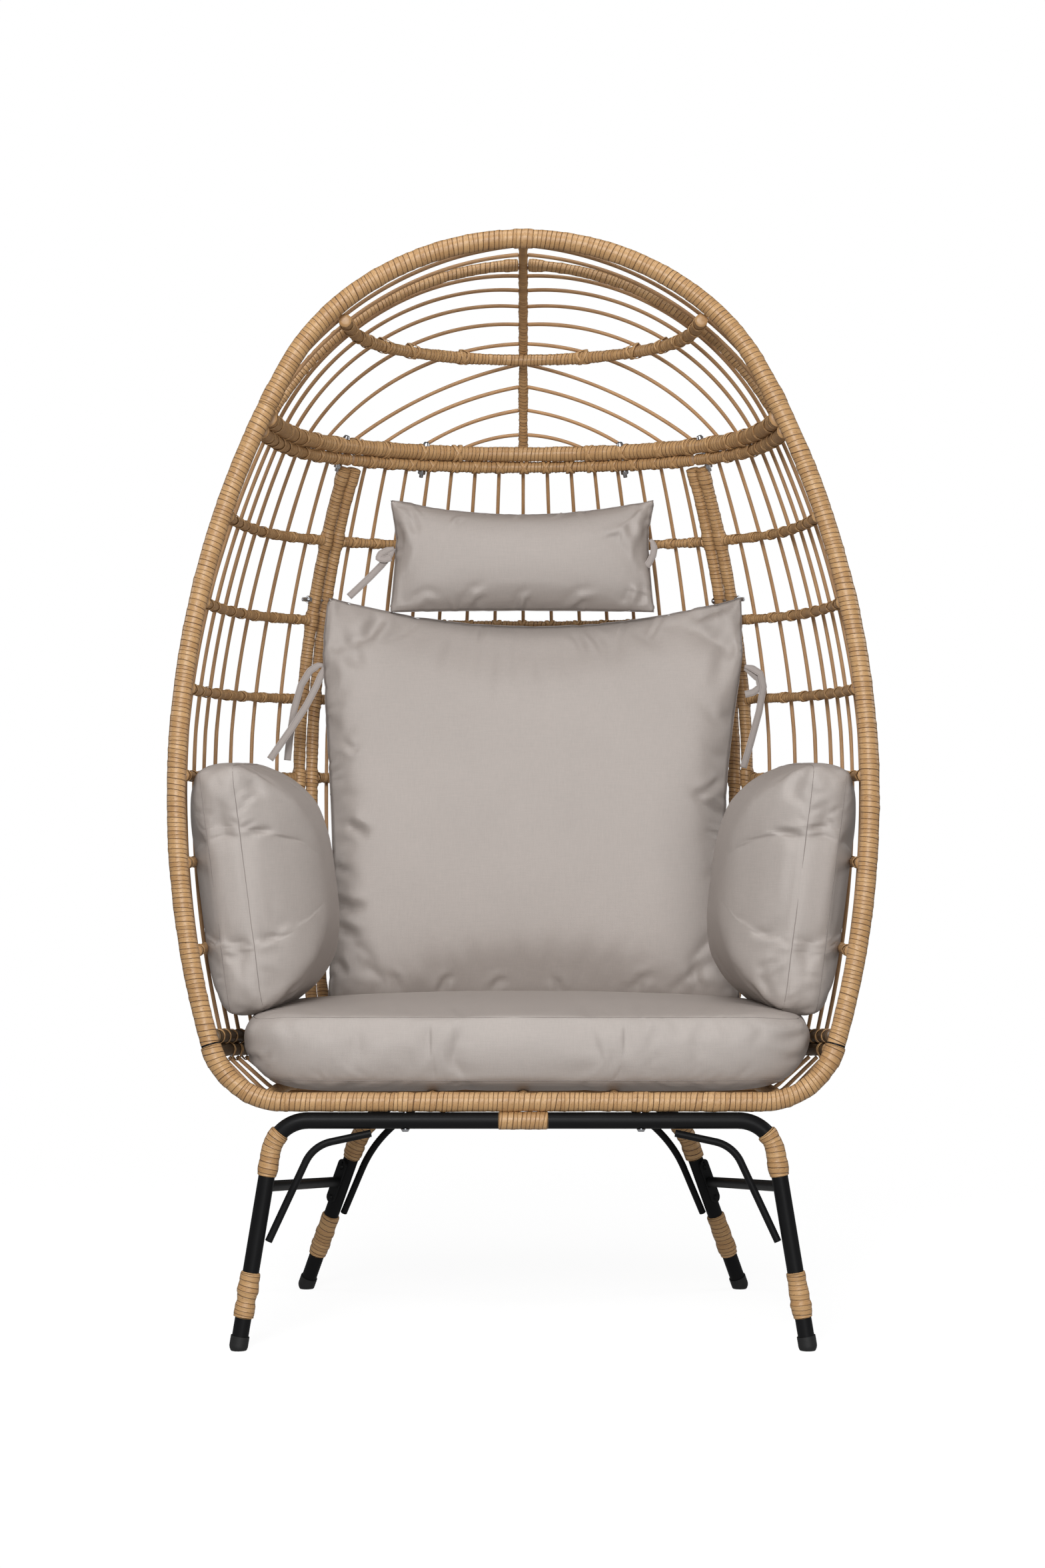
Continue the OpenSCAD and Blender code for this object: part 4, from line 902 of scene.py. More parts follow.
def centred_object(name: str, mesh: Mesh) -> Object:
    """Links a mesh to the scene as an object at the origin."""
    obj = bpy.data.objects.new(name, mesh)
    bpy.context.scene.collection.objects.link(obj)
    return obj


# ---------- materials


def srgb(r: float, g: float, b: float) -> tuple[float, float, float, float]:
    """Linear colour of an sRGB one with parts from 0 to 255."""
    parts = [c / 255 for c in (r, g, b)]
    return tuple(c / 12.92 if c <= 0.04045 else ((c + 0.055) / 1.055) ** 2.4 for c in parts) + (1.0,)


class Value:
    """A node socket with arithmetic, so that shader maths reads as maths."""

    def __init__(self, tree: NodeTree, socket: NodeSocket) -> None:
        self.tree = tree
        self.socket = socket

    def _op(self, kind: str, *others: Value | float) -> Value:
        node = self.tree.nodes.new("ShaderNodeMath")
        node.operation = kind
        for i, x in enumerate((self, *others)):
            if isinstance(x, Value):
                self.tree.links.new(x.socket, node.inputs[i])
            else:
                node.inputs[i].default_value = x
        return Value(self.tree, node.outputs[0])

    def __add__(self, other: Value | float) -> Value:
        return self._op("ADD", other)

    def __sub__(self, other: Value | float) -> Value:
        return self._op("SUBTRACT", other)

    def __mul__(self, other: Value | float) -> Value:
        return self._op("MULTIPLY", other)

    def floor(self) -> Value:
        """Whole part."""
        return self._op("FLOOR")

    def fract(self) -> Value:
        """Part after the point."""
        return self._op("FRACT")

    def least(self, other: Value | float) -> Value:
        """The smaller of two."""
        return self._op("MINIMUM", other)

    def sine(self) -> Value:
        """Sine in radians."""
        return self._op("SINE")

    def step(self, low: float, high: float, to_low: float = 0.0, to_high: float = 1.0) -> Value:
        """Smooth step between two values."""
        node = self.tree.nodes.new("ShaderNodeMapRange")
        node.interpolation_type = "SMOOTHSTEP"
        self.tree.links.new(self.socket, node.inputs["Value"])
        for key, x in (("From Min", low), ("From Max", high), ("To Min", to_low), ("To Max", to_high)):
            node.inputs[key].default_value = x
        return Value(self.tree, node.outputs["Result"])


class Shader:
    """Builds one Principled material."""

    def __init__(self, name: str, **sockets: float | tuple) -> None:
        self.material = bpy.data.materials.new(name)
        self.material.use_nodes = True
        self.tree = self.material.node_tree
        self.bsdf = self.tree.nodes["Principled BSDF"]
        for key, x in sockets.items():
            self.bsdf.inputs[key.replace("_", " ")].default_value = x

    def node(self, kind: str, **inputs: object) -> Node:
        """Adds a node with socket values or links."""
        node = self.tree.nodes.new(kind)
        for key, x in inputs.items():
            self.feed(x, node.inputs[key.replace("_", " ")])
        return node

    def feed(self, x: object, socket: NodeSocket) -> None:
        """Links a value to a socket, or sets it."""
        if isinstance(x, Value):
            self.tree.links.new(x.socket, socket)
        elif isinstance(x, NodeSocket):
            self.tree.links.new(x, socket)
        else:
            socket.default_value = x

    def value(self, socket: NodeSocket) -> Value:
        """Wraps a socket."""
        return Value(self.tree, socket)

    def uv(self) -> tuple[Value, Value]:
        """Place round the tube and along it, from the wrap coordinates."""
        node = self.node("ShaderNodeUVMap")
        node.uv_map = "wrap"
        parts = self.node("ShaderNodeSeparateXYZ", Vector=node.outputs["UV"])
        return self.value(parts.outputs["X"]), self.value(parts.outputs["Y"])

    def place(self) -> NodeSocket:
        """Object coordinates."""
        return self.node("ShaderNodeTexCoord").outputs["Object"]

    def pack(self, x: object, y: object, z: object = 0.0) -> NodeSocket:
        """A vector from three values."""
        return self.node("ShaderNodeCombineXYZ", X=x, Y=y, Z=z).outputs["Vector"]

    def noise(self, vector: object, scale: float, detail: float = 2.0, rough: float = 0.5) -> Value:
        """Fractal noise, about 0.5 on average."""
        node = self.node("ShaderNodeTexNoise", Vector=vector, Scale=scale, Detail=detail, Roughness=rough)
        return self.value(node.outputs["Fac"])

    def random(self, x: object) -> Value:
        """A number from 0 to 1 for each whole value."""
        node = self.tree.nodes.new("ShaderNodeTexWhiteNoise")
        node.noise_dimensions = "1D"
        self.feed(x, node.inputs["W"])
        return self.value(node.outputs["Value"])

    def mix(self, share: object, a: object, b: object) -> NodeSocket:
        """Blend of two colours."""
        node = self.tree.nodes.new("ShaderNodeMix")
        node.data_type = "RGBA"
        self.feed(share, node.inputs[0])
        self.feed(a, node.inputs[6])
        self.feed(b, node.inputs[7])
        return node.outputs[2]

    def colour(self, x: object) -> None:
        """Sets the base colour."""
        self.feed(x, self.bsdf.inputs["Base Color"])

    def roughness(self, x: Value) -> None:
        """Sets a varying roughness."""
        self.feed(x, self.bsdf.inputs["Roughness"])

    def bump(self, height: Value, distance: float, strength: float = 1.0) -> None:
        """Sets the bump."""
        node = self.node("ShaderNodeBump", Height=height, Distance=distance, Strength=strength)
        self.tree.links.new(node.outputs["Normal"], self.bsdf.inputs["Normal"])


class Materials:
    """All of the chair's materials."""

    def __init__(self) -> None:
        self.rattan = self._rattan()
        # half-bright copy of the rattan: painted shade for the rails that lie in shade under the side
        # cushions
        self.shaded_rattan = self._rattan("dark_rattan_strip", 0.5)
        self.rod = self._rod()
        self.steel = self._steel()
        rubber = Shader("foot_rubber", IOR=1.5)
        zinc = Shader("bright_zinc", Metallic=1.0)
        self.rubber = self._speckled(rubber, 500.0, (16, 16, 16), (27, 27, 27), (0.2, 0.62), (0.0002, 0.5))
        self.zinc = self._speckled(
            zinc, 420.0, (168, 170, 174), (222, 223, 226), (0.25, 0.3), (0.00008, 0.4)
        )
        self.cloth = self._cloth("cushion_cloth", srgb(172, 163, 157))
        # the seam threads' cloth is darker than the cover: painted shade in the seams' grooves
        self.seam = self._cloth("cushion_seam", srgb(142, 133, 128))
        self.tape = self._tape()

    @staticmethod
    def _rattan(name: str = "rattan_strip", shade: float = 1.0) -> Material:
        """Flat plastic strip with wood grain, wound edge to edge, with painted shade in the grooves between
        strips; a shade below 1 darkens all its colours as painted shade.
        """
        m = Shader(name, IOR=1.48)
        u, v = m.uv()
        soft = m.noise(m.pack(u * 3.0, v * 0.35), 1.0, 1.0)
        at = v + (soft - 0.5) * 0.16
        fr, number = at.fract(), at.floor()
        near = fr.least(fr * -1.0 + 1.0)
        tint = m.random(number)
        # deep sets how dark the painted shade is at each strip's edges, so some grooves look deeper than
        # others
        deep = m.random(number + 0.37)
        grain = m.noise(m.pack(u * 5.0, fr * 9.0, number * 1.7), 1.0, 3.0, 0.6)
        flecks = m.noise(m.pack(u * 26.0, fr * 7.0, number * 2.3), 1.0, 2.0, 0.55)
        light = (tint - 0.5) * 0.28 + (grain - 0.5) * 1.2 + 0.55
        # every colour is scaled by shade, which paints shade where it is below 1
        brown, tan = (srgb(*(shade * c for c in colour)) for colour in ((158, 114, 70), (212, 172, 122)))
        base = m.mix(light, brown, tan)
        base = m.mix(flecks.step(0.6, 0.7, 0.0, 0.6), base, srgb(112, 72, 40))
        # painted shade: the colour darkens towards dark brown at each strip's edges, standing in for the
        # shade in the groove between strips
        line = near.step(0.03, 0.11, 1.0, 0.0) * (deep * 0.55 + 0.45)
        m.colour(m.mix(line, base, srgb(70, 42, 22)))
        m.roughness((grain - 0.5) * 0.25 + 0.4)
        m.bump(near.step(0.0, 0.12) + grain * 0.25, 0.0006, 0.8)
        return m.material

    @staticmethod
    def _rod() -> Material:
        """Thin round core rod with lengthwise grain."""
        m = Shader("core_rod", IOR=1.48)
        u, v = m.uv()
        ring = (u * 6.2832).sine()
        ring2 = (u * 6.2832 + 1.5708).sine()
        grain = m.noise(m.pack(ring * 2.2, ring2 * 2.2, v * 0.22), 1.6, 4.0, 0.6)
        flecks = m.noise(m.pack(ring * 5.0, ring2 * 5.0, v * 0.8), 1.0, 2.0)
        base = m.mix((grain - 0.5) * 2.0 + 0.5, srgb(146, 106, 70), srgb(204, 160, 112))
        m.colour(m.mix(flecks.step(0.62, 0.74, 0.0, 0.55), base, srgb(84, 56, 36)))
        m.roughness((grain - 0.5) * 0.2 + 0.52)
        m.bump(grain, 0.0004, 0.6)
        return m.material

    @staticmethod
    def _steel() -> Material:
        """Black powder-coated steel."""
        m = Shader("black_powder_coat", IOR=1.5, Specular_IOR_Level=0.12)
        fine = m.noise(m.place(), 900.0, 2.0)
        broad = m.noise(m.place(), 18.0, 3.0)
        m.colour(m.mix(broad, srgb(17, 17, 18), srgb(27, 27, 28)))
        m.roughness((fine - 0.5) * 0.12 + (broad - 0.5) * 0.1 + 0.44)
        m.bump(fine, 0.00012, 0.5)
        return m.material

    @staticmethod
    def _speckled(m: Shader, scale: float, dark: tuple, light: tuple, rough: tuple, bump: tuple) -> Material:
        """Fine speckles in colour, gloss and height."""
        fine = m.noise(m.place(), scale, 3.0)
        m.colour(m.mix(fine, srgb(*dark), srgb(*light)))
        m.roughness((fine - 0.5) * rough[0] + rough[1])
        m.bump(fine, *bump)
        return m.material

    @staticmethod
    def _cloth(name: str, base: tuple) -> Material:
        """Plain woven cover cloth."""
        m = Shader(name, IOR=1.5, Specular_IOR_Level=0.7, Metallic=0.1)
        place = m.place()
        split = m.node("ShaderNodeSeparateXYZ", Vector=place)
        x, y, z = (m.value(split.outputs[i]) for i in range(3))
        warp = ((x + y * 0.6) * 7400.0).sine()
        weft = ((z + y * 0.4) * 7400.0).sine()
        slub = m.noise(m.pack(x * 60.0, y * 60.0, z * 900.0), 1.0, 2.0)
        slub2 = m.noise(m.pack(x * 900.0, y * 300.0, z * 60.0), 1.0, 2.0)
        cloudy = m.noise(place, 9.0, 3.0)
        dark = tuple(c * 0.86 for c in base[:3]) + (1.0,)
        light = tuple(min(1.0, c * 1.07) for c in base[:3]) + (1.0,)
        share = (slub + slub2 - 1.0) * 0.7 + (cloudy - 0.5) * 0.5 + 0.62
        m.colour(m.mix(share, dark, light))
        m.roughness((slub - 0.5) * 0.15 + 0.5)
        m.bump(warp * weft * 0.4 + slub + slub2, 0.00022, 0.45)
        return m.material

    @staticmethod
    def _tape() -> Material:
        """Folded cloth tape with stitched edges."""
        m = Shader("tie_tape", IOR=1.4, Sheen_Weight=0.1)
        u, v = m.uv()
        weave = m.noise(m.pack(u * 3.0, v * 9.0), 6.0, 3.0)
        edge = u.least(u * -1.0 + 1.0)
        stitch = edge.step(0.1, 0.16) * edge.step(0.18, 0.24, 1.0, 0.0)
        base = m.mix(weave, srgb(158, 149, 145), srgb(186, 177, 172))
        m.colour(m.mix(stitch * 0.4, base, srgb(120, 112, 108)))
        m.roughness((weave - 0.5) * 0.2 + 0.8)
        m.bump(weave - stitch, 0.0003, 0.5)
        return m.material


def dress(obj: Object, material: Material) -> None:
    """Gives an object one material in every slot."""
    if not obj.data.materials:
        obj.data.materials.append(material)
    for i in range(len(obj.data.materials)):
        obj.data.materials[i] = material


def declare(obj: Object, material: Material, body: Body, node: str | None = None) -> None:
    """Dresses a piece, hangs it on its body and hides the CAD node that it stands for.

    Args:
        obj: The piece.
        material: Its material.
        body: The CAD body that it rides on.
        node: The CAD node that it stands for, if any.
    """
    dress(obj, material)
    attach(obj, body.value)
    if node:
        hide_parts(node)


# ---------- frame pieces


# rails wound in the half-bright rattan, whose colour paints the shade that falls on them under the side
# cushions
SHADED_RAILS = ("side_bottom_rail_left", "side_bottom_rail_right", "seat_upper_rail")


class FrameDresser:
    """Rebuilds tubes, rods and bindings in finer form."""

    def __init__(self, chair: Chair, materials: Materials) -> None:
        self.chair = chair
        self.materials = materials
        self.rng = np.random.default_rng(7)
        self.number = 0
        self.paths: dict[str, list[Tube]] = {}

    def piece(self, node: str, tubes: list[Tube], plain: bool = False) -> None:
        """One object that stands for a CAD node."""
        skin = Skin()
        for tube in tubes:
            self.number += 1
            tube.skin(skin, self.rng, self.number)
        skin.verts = [v - MIDDLE for v in skin.verts]
        obj = centred_object(f"{node}_{'grain' if plain else 'wound'}", skin.mesh(node))
        # the rails that lie in shade get the half-bright rattan: painted shade
        wound = self.materials.shaded_rattan if node in SHADED_RAILS else self.materials.rattan
        material, finish = (self.materials.rod, Finish.ROD) if plain else (wound, Finish.RATTAN)
        declare(obj, material, Body.FRAME, node)
        self.paths[node] = tubes

    def pair(self, stem: str, tubes: list[Tube], plain: bool = False) -> None:
        """The right piece and its mirror image."""
        self.piece(f"{stem}_right", tubes, plain)
        self.piece(f"{stem}_left", [replace(tube, path=mirrored(tube.path)) for tube in tubes], plain)

    def build(self) -> None:
        """Builds every wound tube and every rod."""
        self._rims()
        self._panels()
        self._canopy()
        self._seat()
        self._base()
        self.pair("side_rods", rods(self.chair.side_rod_paths()), True)
        self.piece("back_rods", rods(self.chair.back_rod_paths()), True)

    def _rims(self) -> None:
        c = self.chair
        rim = c.canopy_rim()
        length = Track(rim).length
        bumps = tuple(Bump(at, 12, 1.1) for at in (12, length - 12, length / 2))
        self.piece("canopy_rim", [Rim(rim, bumps=bumps)])
        self.pair("side_rim", [Rim(c.side_rim())])
        front = c.front_rim()
        length = Track(front).length
        bolts = tuple(Bump(length / 2 + x, 8, 0.8, 2) for x in (-S.base_bolt_x, S.base_bolt_x))
        ends = tuple(Bump(at, 11, 1.1) for at in (11, length - 11))
        self.piece("seat_front_rim", [Rim(front, bumps=bolts + ends, rough=1.2)])

    def _collars(self, path: Points) -> tuple[Bump, ...]:
        """Thicker bindings on a post where rails meet it."""
        track = Track(path)
        at = [float(np.interp(h, track.points[:, 2], track.s)) for h in self.chair.rail_heights()]
        ends = (Bump(track.length - 6, 14, 1.4, 8), Bump(14, 12, 1.2, 8))
        return tuple(Bump(a, 9, 1.3, 6) for a in at) + ends

    def _panels(self) -> None:
        c = self.chair
        for stem, f in (("side_post", c.side_post_f), ("back_post", c.back_post_f)):
            post = c.post(f)
            self.pair(stem, [Post(post, bumps=self._collars(post))])
        far = c.side_post_f + math.degrees(S.post_r * 0.6 / S.plan_corner_r)
        top = c.side_level(S.top_rail_z, S.rim_r + S.wrap_bump + 0.5, far)
        self.pair("side_top_rail", [EdgeRail(top, flare=(2.5, 0))])
        rails = []
        for z in c.rail_heights():
            ahead = S.post_r + looked_up(z, SIDE_RAIL_ROOM)
            f1 = c.side_post_f - math.degrees(ahead / (c.level_scale(z) * S.plan_corner_r))
            rails.append(MidRail(c.side_level(z, S.rim_r + 1, f1), flare=(3.2, 2.2)))
        self.pair("side_rails", rails)
        f0 = c.start_heading(c.edge_s, S.rim_r + 0.6)
        f1 = c.side_post_f - math.degrees((S.post_r + S.gap) / (c.edge_s * S.plan_corner_r))
        self.pair("side_bottom_rail", [EdgeRail(c.edge_level(f0, f1), flare=(2, 1.5))])
        f0 = c.back_post_f - math.degrees(S.post_r * 0.6 / c.back_r)
        self.piece("back_top_rail", [EdgeRail(c.level(S.top_rail_z, f0, 180 - f0))])
        rails = []
        for z in c.rail_heights():
            ahead = S.post_r + looked_up(z, BACK_RAIL_ROOM)
            f0 = c.back_post_f + math.degrees(ahead / (c.level_scale(z) * c.back_r))
            rails.append(MidRail(c.level(z, f0, 180 - f0), flare=(2.2, 2.2)))
        self.piece("back_rails", rails)
        f0 = c.back_post_f + math.degrees((S.post_r + 1.8) / (c.edge_s * c.back_r))
        self.piece("back_bottom_rail", [EdgeRail(c.edge_level(f0, 180 - f0))])

    def _canopy(self) -> None:
        c = self.chair
        self.pair("canopy_ribs", rods(c.rib_path(a, S.rod_r) for a in c.rib_angles()), True)
        arch = c.rib_path(S.arch_at, S.arch_r)
        bumps = (Bump(6, 12, 1.5, 6), Bump(Track(arch).length - 4, 12, 1.6, 6))
        halves = [Tube(p, S.arch_r, BEHIND, 5.8, bumps, rough=1.3) for p in both([arch])]
        self.piece("canopy_arch", halves)
        self.piece("canopy_spine", [Tube(c.spine(), S.spine_r, BESIDE, 5.6, flare=(3, 2), rough=1.4)])
        hoop = Tube(c.hoop_path(), S.hoop_r, pitch=5.8, flare=(0.8, 0.8), rough=1.5)
        self.piece("canopy_hoop", [hoop])
        z = S.canopy_rail_z
        f0 = c.start_heading(c.level_scale(z), S.rim_r + S.wrap_bump + 0.5)
        path = c.level(z, f0, 180 - f0)
        rail = Tube(path, S.canopy_rail_r, pitch=6.4, flare=(2.5, 2.5), rough=1.3, columns=16)
        self.piece("canopy_lower_rail", [rail])

    def _seat(self) -> None:
        c = self.chair
        f0 = c.start_heading(c.edge_s, S.rim_r + S.wrap_bump + 0.9)
        upper = c.edge_level(f0, 180 - f0, c.edge_drop)
        self.piece("seat_upper_rail", [SeatRail(upper, r=S.edge_rail_r, flare=(2, 2))])
        self.piece("seat_floor_rail", [SeatRail(c.floor_rail(), r=S.floor_rail_r)])
        long_rails = [SeatRail(p, r=S.floor_rail_r - 1, columns=12) for p in c.long_rails()]
        self.piece("seat_long_rails", long_rails)
        self.piece("seat_cross_rods", rods(c.cross_rod_paths()), True)
        self.piece("seat_rear_rods", rods(c.rear_rod_paths(), BESIDE), True)

    def _base(self) -> None:
        c = self.chair
        r = S.leg_r + S.touch + 1.7
        tubes = []
        for path in both(c.leg_wraps()):
            length = Track(path).length
            bumps = (Bump(5, 3, 0.7, 3), Bump(length * 0.45, 4, 0.6, 6), Bump(length * 0.8, 5, 1.0, 5))
            tubes.append(Tube(path, r, BEHIND, 6.0, bumps, rough=2.0, columns=18))
        x = S.middle_wrap_x
        middle = np.linspace([-x, 0, c.cross_z], [x, 0, c.cross_z], 30)
        tubes.append(Tube(middle, S.leg_r + 0.9, BEHIND, 6.4, rough=0.7, columns=18))
        self.piece("base_wraps", tubes)


def two_sides(stem: str) -> list[str]:
    """Names of the left and the right node."""
    return [f"{stem}_left", f"{stem}_right"]


class Bindings:
    """Crossed strips where a rod passes a rail, placed by Geometry Nodes."""

    def __init__(self, dresser: FrameDresser, material: Material) -> None:
        self.dresser = dresser
        self.material = material
        self.rng = np.random.default_rng(19)

    def crossings(self, rails: Iterable[Tube], rods: Iterable[Tube]) -> list[tuple[Points, Points, float]]:
        """Places, frames and distances where rods pass close to rails."""
        found = []
        for rail in rails:
            track = Track(rail.path)
            s = np.linspace(0, track.length, max(30, int(track.length / 3)))
            p = track.at(s)
            for rod in rods:
                rod_track = Track(rod.path)
                q = rod_track.at(np.linspace(0, rod_track.length, max(30, int(rod_track.length / 3))))
                d = np.linalg.norm(p[:, None] - q[None], axis=2)
                i, j = np.unravel_index(np.argmin(d), d.shape)
                if d[i, j] > rail.r + rod.r + 6.5:
                    continue
                x = track.heading(np.array([s[i]]))[0]
                y = q[j] - p[i]
                y = unit(y - (y @ x) * x)
                found.append((p[i], np.stack([x, y, np.cross(x, y)], 1), float(d[i, j])))
        return found

    @staticmethod
    def knot(rail_r: float, reach: float, slant: float, width: float = 5.2) -> Mesh:
        """Two slanted strips that loop round a rail and the rod behind it."""
        skin = Skin()
        r1, r2 = rail_r + 0.55, S.rod_r + 0.75
        open_at = math.degrees(math.acos((r1 - r2) / reach))
        one = [(r1 * cosd(t), r1 * sind(t)) for t in np.linspace(open_at, 360 - open_at, 22)]
        two = [(reach + r2 * cosd(t), r2 * sind(t)) for t in np.linspace(-open_at, open_at, 9)]
        loop = np.array(one + two)
        n = len(loop)
        for sign in (-1, 1):
            lean = sign * math.tan(math.radians(slant))
            path = np.stack([loop[:, 1] * lean, loop[:, 0], loop[:, 1]], -1)
            t = unit(np.roll(path, -1, 0) - np.roll(path, 1, 0))
            across = unit(np.array([1.0, 0, 0]) - (t[:, :1] * t))
            out = np.cross(across, t)
            centre = np.array([0, reach * 0.35, 0])
            out = np.where(np.sum(out * (path - centre), 1)[:, None] < 0, -out, out)
            lift = 0.25 if sign > 0 else 0.0
            rim = [(-0.5, 0.0), (-0.42, 0.7), (0, 1.0), (0.42, 0.7), (0.5, 0.0), (0, -0.4)]
            ring = np.stack([path + across * (w * width) + out * (h + lift - 0.3) for w, h in rim], 1)
            quads, i, j = tube_quads(n, len(rim), ring=True)
            v = np.array([0.02, 0.2, 0.5, 0.8, 0.98, 0.5, 0.02])[j] + 5 * sign + 11
            skin.add(ring, quads, np.stack([i / n * 2.2, v], -1))
        mesh = skin.mesh("knot")
        face_outwards(mesh)
        return mesh

    def group(self) -> NodeTree:
        """Geometry Nodes that set a knot on each point, turned by its attributes."""
        tree = bpy.data.node_groups.new("bindings", "GeometryNodeTree")
        for name, kind in (("Geometry", "Geometry"), ("Knot", "Object"), ("Finish", "Material")):
            tree.interface.new_socket(name, in_out="INPUT", socket_type=f"NodeSocket{kind}")
        tree.interface.new_socket("Geometry", in_out="OUTPUT", socket_type="NodeSocketGeometry")
        start, end = tree.nodes.new("NodeGroupInput"), tree.nodes.new("NodeGroupOutput")
        info = tree.nodes.new("GeometryNodeObjectInfo")
        place = tree.nodes.new("GeometryNodeInstanceOnPoints")
        rotate = tree.nodes.new("FunctionNodeEulerToRotation")
        real = tree.nodes.new("GeometryNodeRealizeInstances")
        paint = tree.nodes.new("GeometryNodeSetMaterial")
        turn, size = (tree.nodes.new("GeometryNodeInputNamedAttribute") for _ in range(2))
        turn.data_type = size.data_type = "FLOAT_VECTOR"
        turn.inputs["Name"].default_value = "turn"
        size.inputs["Name"].default_value = "size"
        for source, output, target, socket in (
            (start, "Knot", info, "Object"),
            (start, "Geometry", place, "Points"),
            (info, "Geometry", place, "Instance"),
            (turn, "Attribute", rotate, "Euler"),
            (rotate, "Rotation", place, "Rotation"),
            (size, "Attribute", place, "Scale"),
            (place, "Instances", real, "Geometry"),
            (real, "Geometry", paint, "Geometry"),
            (start, "Finish", paint, "Material"),
            (paint, "Geometry", end, "Geometry"),
        ):
            tree.links.new(source.outputs[output], target.inputs[socket])
        return tree

    def place(self, name: str, rail_nodes: Sequence[str], rod_nodes: Sequence[str], slant: float) -> None:
        """Binds all rods to all rails of some nodes."""
        rails = [t for n in rail_nodes for t in self.dresser.paths[n]]
        rods = [t for n in rod_nodes for t in self.dresser.paths[n]]
        found = self.crossings(rails, rods)
        if not found:
            LOG.warning("%s has no crossings", name)
            return
        reach = float(np.median([d for _, _, d in found]))
        knot = centred_object(f"{name}_knot", self.knot(rails[0].r, reach, slant))
        mesh = bpy.data.meshes.new(name)
        mesh.from_pydata([Vector((p - MIDDLE) * MM) for p, _, _ in found], [], [])
        turn = mesh.attributes.new("turn", "FLOAT_VECTOR", "POINT")
        size = mesh.attributes.new("size", "FLOAT_VECTOR", "POINT")
        for i, (_, axes, _) in enumerate(found):
            turn.data[i].vector = Matrix(axes.tolist()).to_euler()
            size.data[i].vector = (self.rng.uniform(0.85, 1.2), 1.0, self.rng.uniform(0.98, 1.06))
        points = centred_object(f"{name}_points", mesh)
        tree = self.group()
        modifier = points.modifiers.new("bindings", "NODES")
        modifier.node_group = tree
        inputs = {"Knot": knot, "Finish": self.material}
        for item in tree.interface.items_tree:
            if item.item_type == "SOCKET" and item.in_out == "INPUT" and item.name in inputs:
                modifier[item.identifier] = inputs[item.name]
        graph = bpy.context.evaluated_depsgraph_get()
        made = bpy.data.meshes.new_from_object(points.evaluated_get(graph))
        bpy.data.objects.remove(points)
        bpy.data.objects.remove(knot)
        declare(centred_object(name, made), self.material, Body.FRAME)
        LOG.info("%s: %d crossings at %.1f mm", name, len(found), reach)

    def build(self) -> None:
        """Places every group of bindings."""
        side_rods, ribs = two_sides("side_rods"), two_sides("canopy_ribs")
        side_edges = two_sides("side_top_rail") + two_sides("side_bottom_rail")
        seat_rods = ["seat_cross_rods", "seat_rear_rods"]
        for name, rail_nodes, rod_nodes, slant in (
            ("side_rail_bindings", two_sides("side_rails"), side_rods, 30),
            ("side_edge_bindings", side_edges, side_rods, 24),
            ("back_rail_bindings", ["back_rails"], ["back_rods"], 30),
            ("back_edge_bindings", ["back_top_rail", "back_bottom_rail"], ["back_rods"], 24),
            ("hoop_bindings", ["canopy_hoop"], ribs, 34),
            ("canopy_edge_bindings", ["canopy_lower_rail"], ribs, 22),
            ("seat_edge_bindings", ["seat_upper_rail"], seat_rods, 24),
            ("seat_floor_bindings", ["seat_long_rails"], seat_rods[:1], 28),
        ):
            self.place(name, rail_nodes, rod_nodes, slant)


# ---------- camera and stage


@dataclass(frozen=True)
class Eye:
    """The camera: its distance in front of the chair's front legs, and its picture."""

    distance: float = 4300.0
    height: float = 723.0
    per_pixel: float = 0.876
    middle_px: float = 784.5
    horizon_px: float = 1200.0

    @property
    def place(self) -> Vector:
        """Camera position in millimetres."""
        return Vector((0.0, -S.mid_y - self.distance, self.height))

    def toward(self, px: float, py: float) -> Vector:
        """Unit direction through a picture point of the full frame."""
        x, z = (px - self.middle_px) * self.per_pixel, (self.horizon_px - py) * self.per_pixel
        return Vector((x, self.distance, z)).normalized()

    def make(self) -> None:
        """Creates the scene's camera."""
        data = bpy.data.cameras.new("view")
        data.sensor_fit = "AUTO"
        data.sensor_width = 24.0
        data.lens = 24.0 * self.distance / (IMAGE_H * self.per_pixel)
        data.shift_x = -(self.middle_px - IMAGE_W / 2 + 0.5) / IMAGE_H
        data.shift_y = (self.horizon_px - IMAGE_H / 2) / IMAGE_H
        camera = bpy.data.objects.new("view", data)
        camera.location = self.place * MM
        camera.rotation_euler = (math.radians(90), 0, 0)
        bpy.context.scene.collection.objects.link(camera)
        bpy.context.scene.camera = camera


@dataclass(frozen=True)
class Lamp:
    """A round soft light: where it stands and looks in metres, its width and its power."""

    name: str
    place: Triple
    target_z: float
    size: float
    power: float

    def make(self) -> None:
        """Puts the light in the scene."""
        data = bpy.data.lights.new(self.name, "AREA")
        data.shape = "DISK"
        data.size = self.size
        data.energy = self.power
        lamp = bpy.data.objects.new(self.name, data)
        lamp.location = self.place
        direction = Vector((0, 0, self.target_z)) - Vector(self.place)
        lamp.rotation_euler = direction.to_track_quat("-Z", "Y").to_euler()
        bpy.context.scene.collection.objects.link(lamp)


DIM = 0.1  # the surroundings' light on the chair, while the camera sees them white
LAMPS = (
    Lamp("key", (-0.6, -4.0, 2.3), 0.85, 1.4, 106),
    Lamp("fill", (0.9, -4.2, 0.6), 0.5, 1.6, 44),
    Lamp("top", (0.0, -1.0, 4.0), 0.8, 2.0, 46),
    Lamp("rim_left", (-3.2, 0.6, 1.8), 0.8, 1.4, 16),
    Lamp("rim_right", (3.2, 0.6, 1.8), 0.8, 1.4, 20),
)


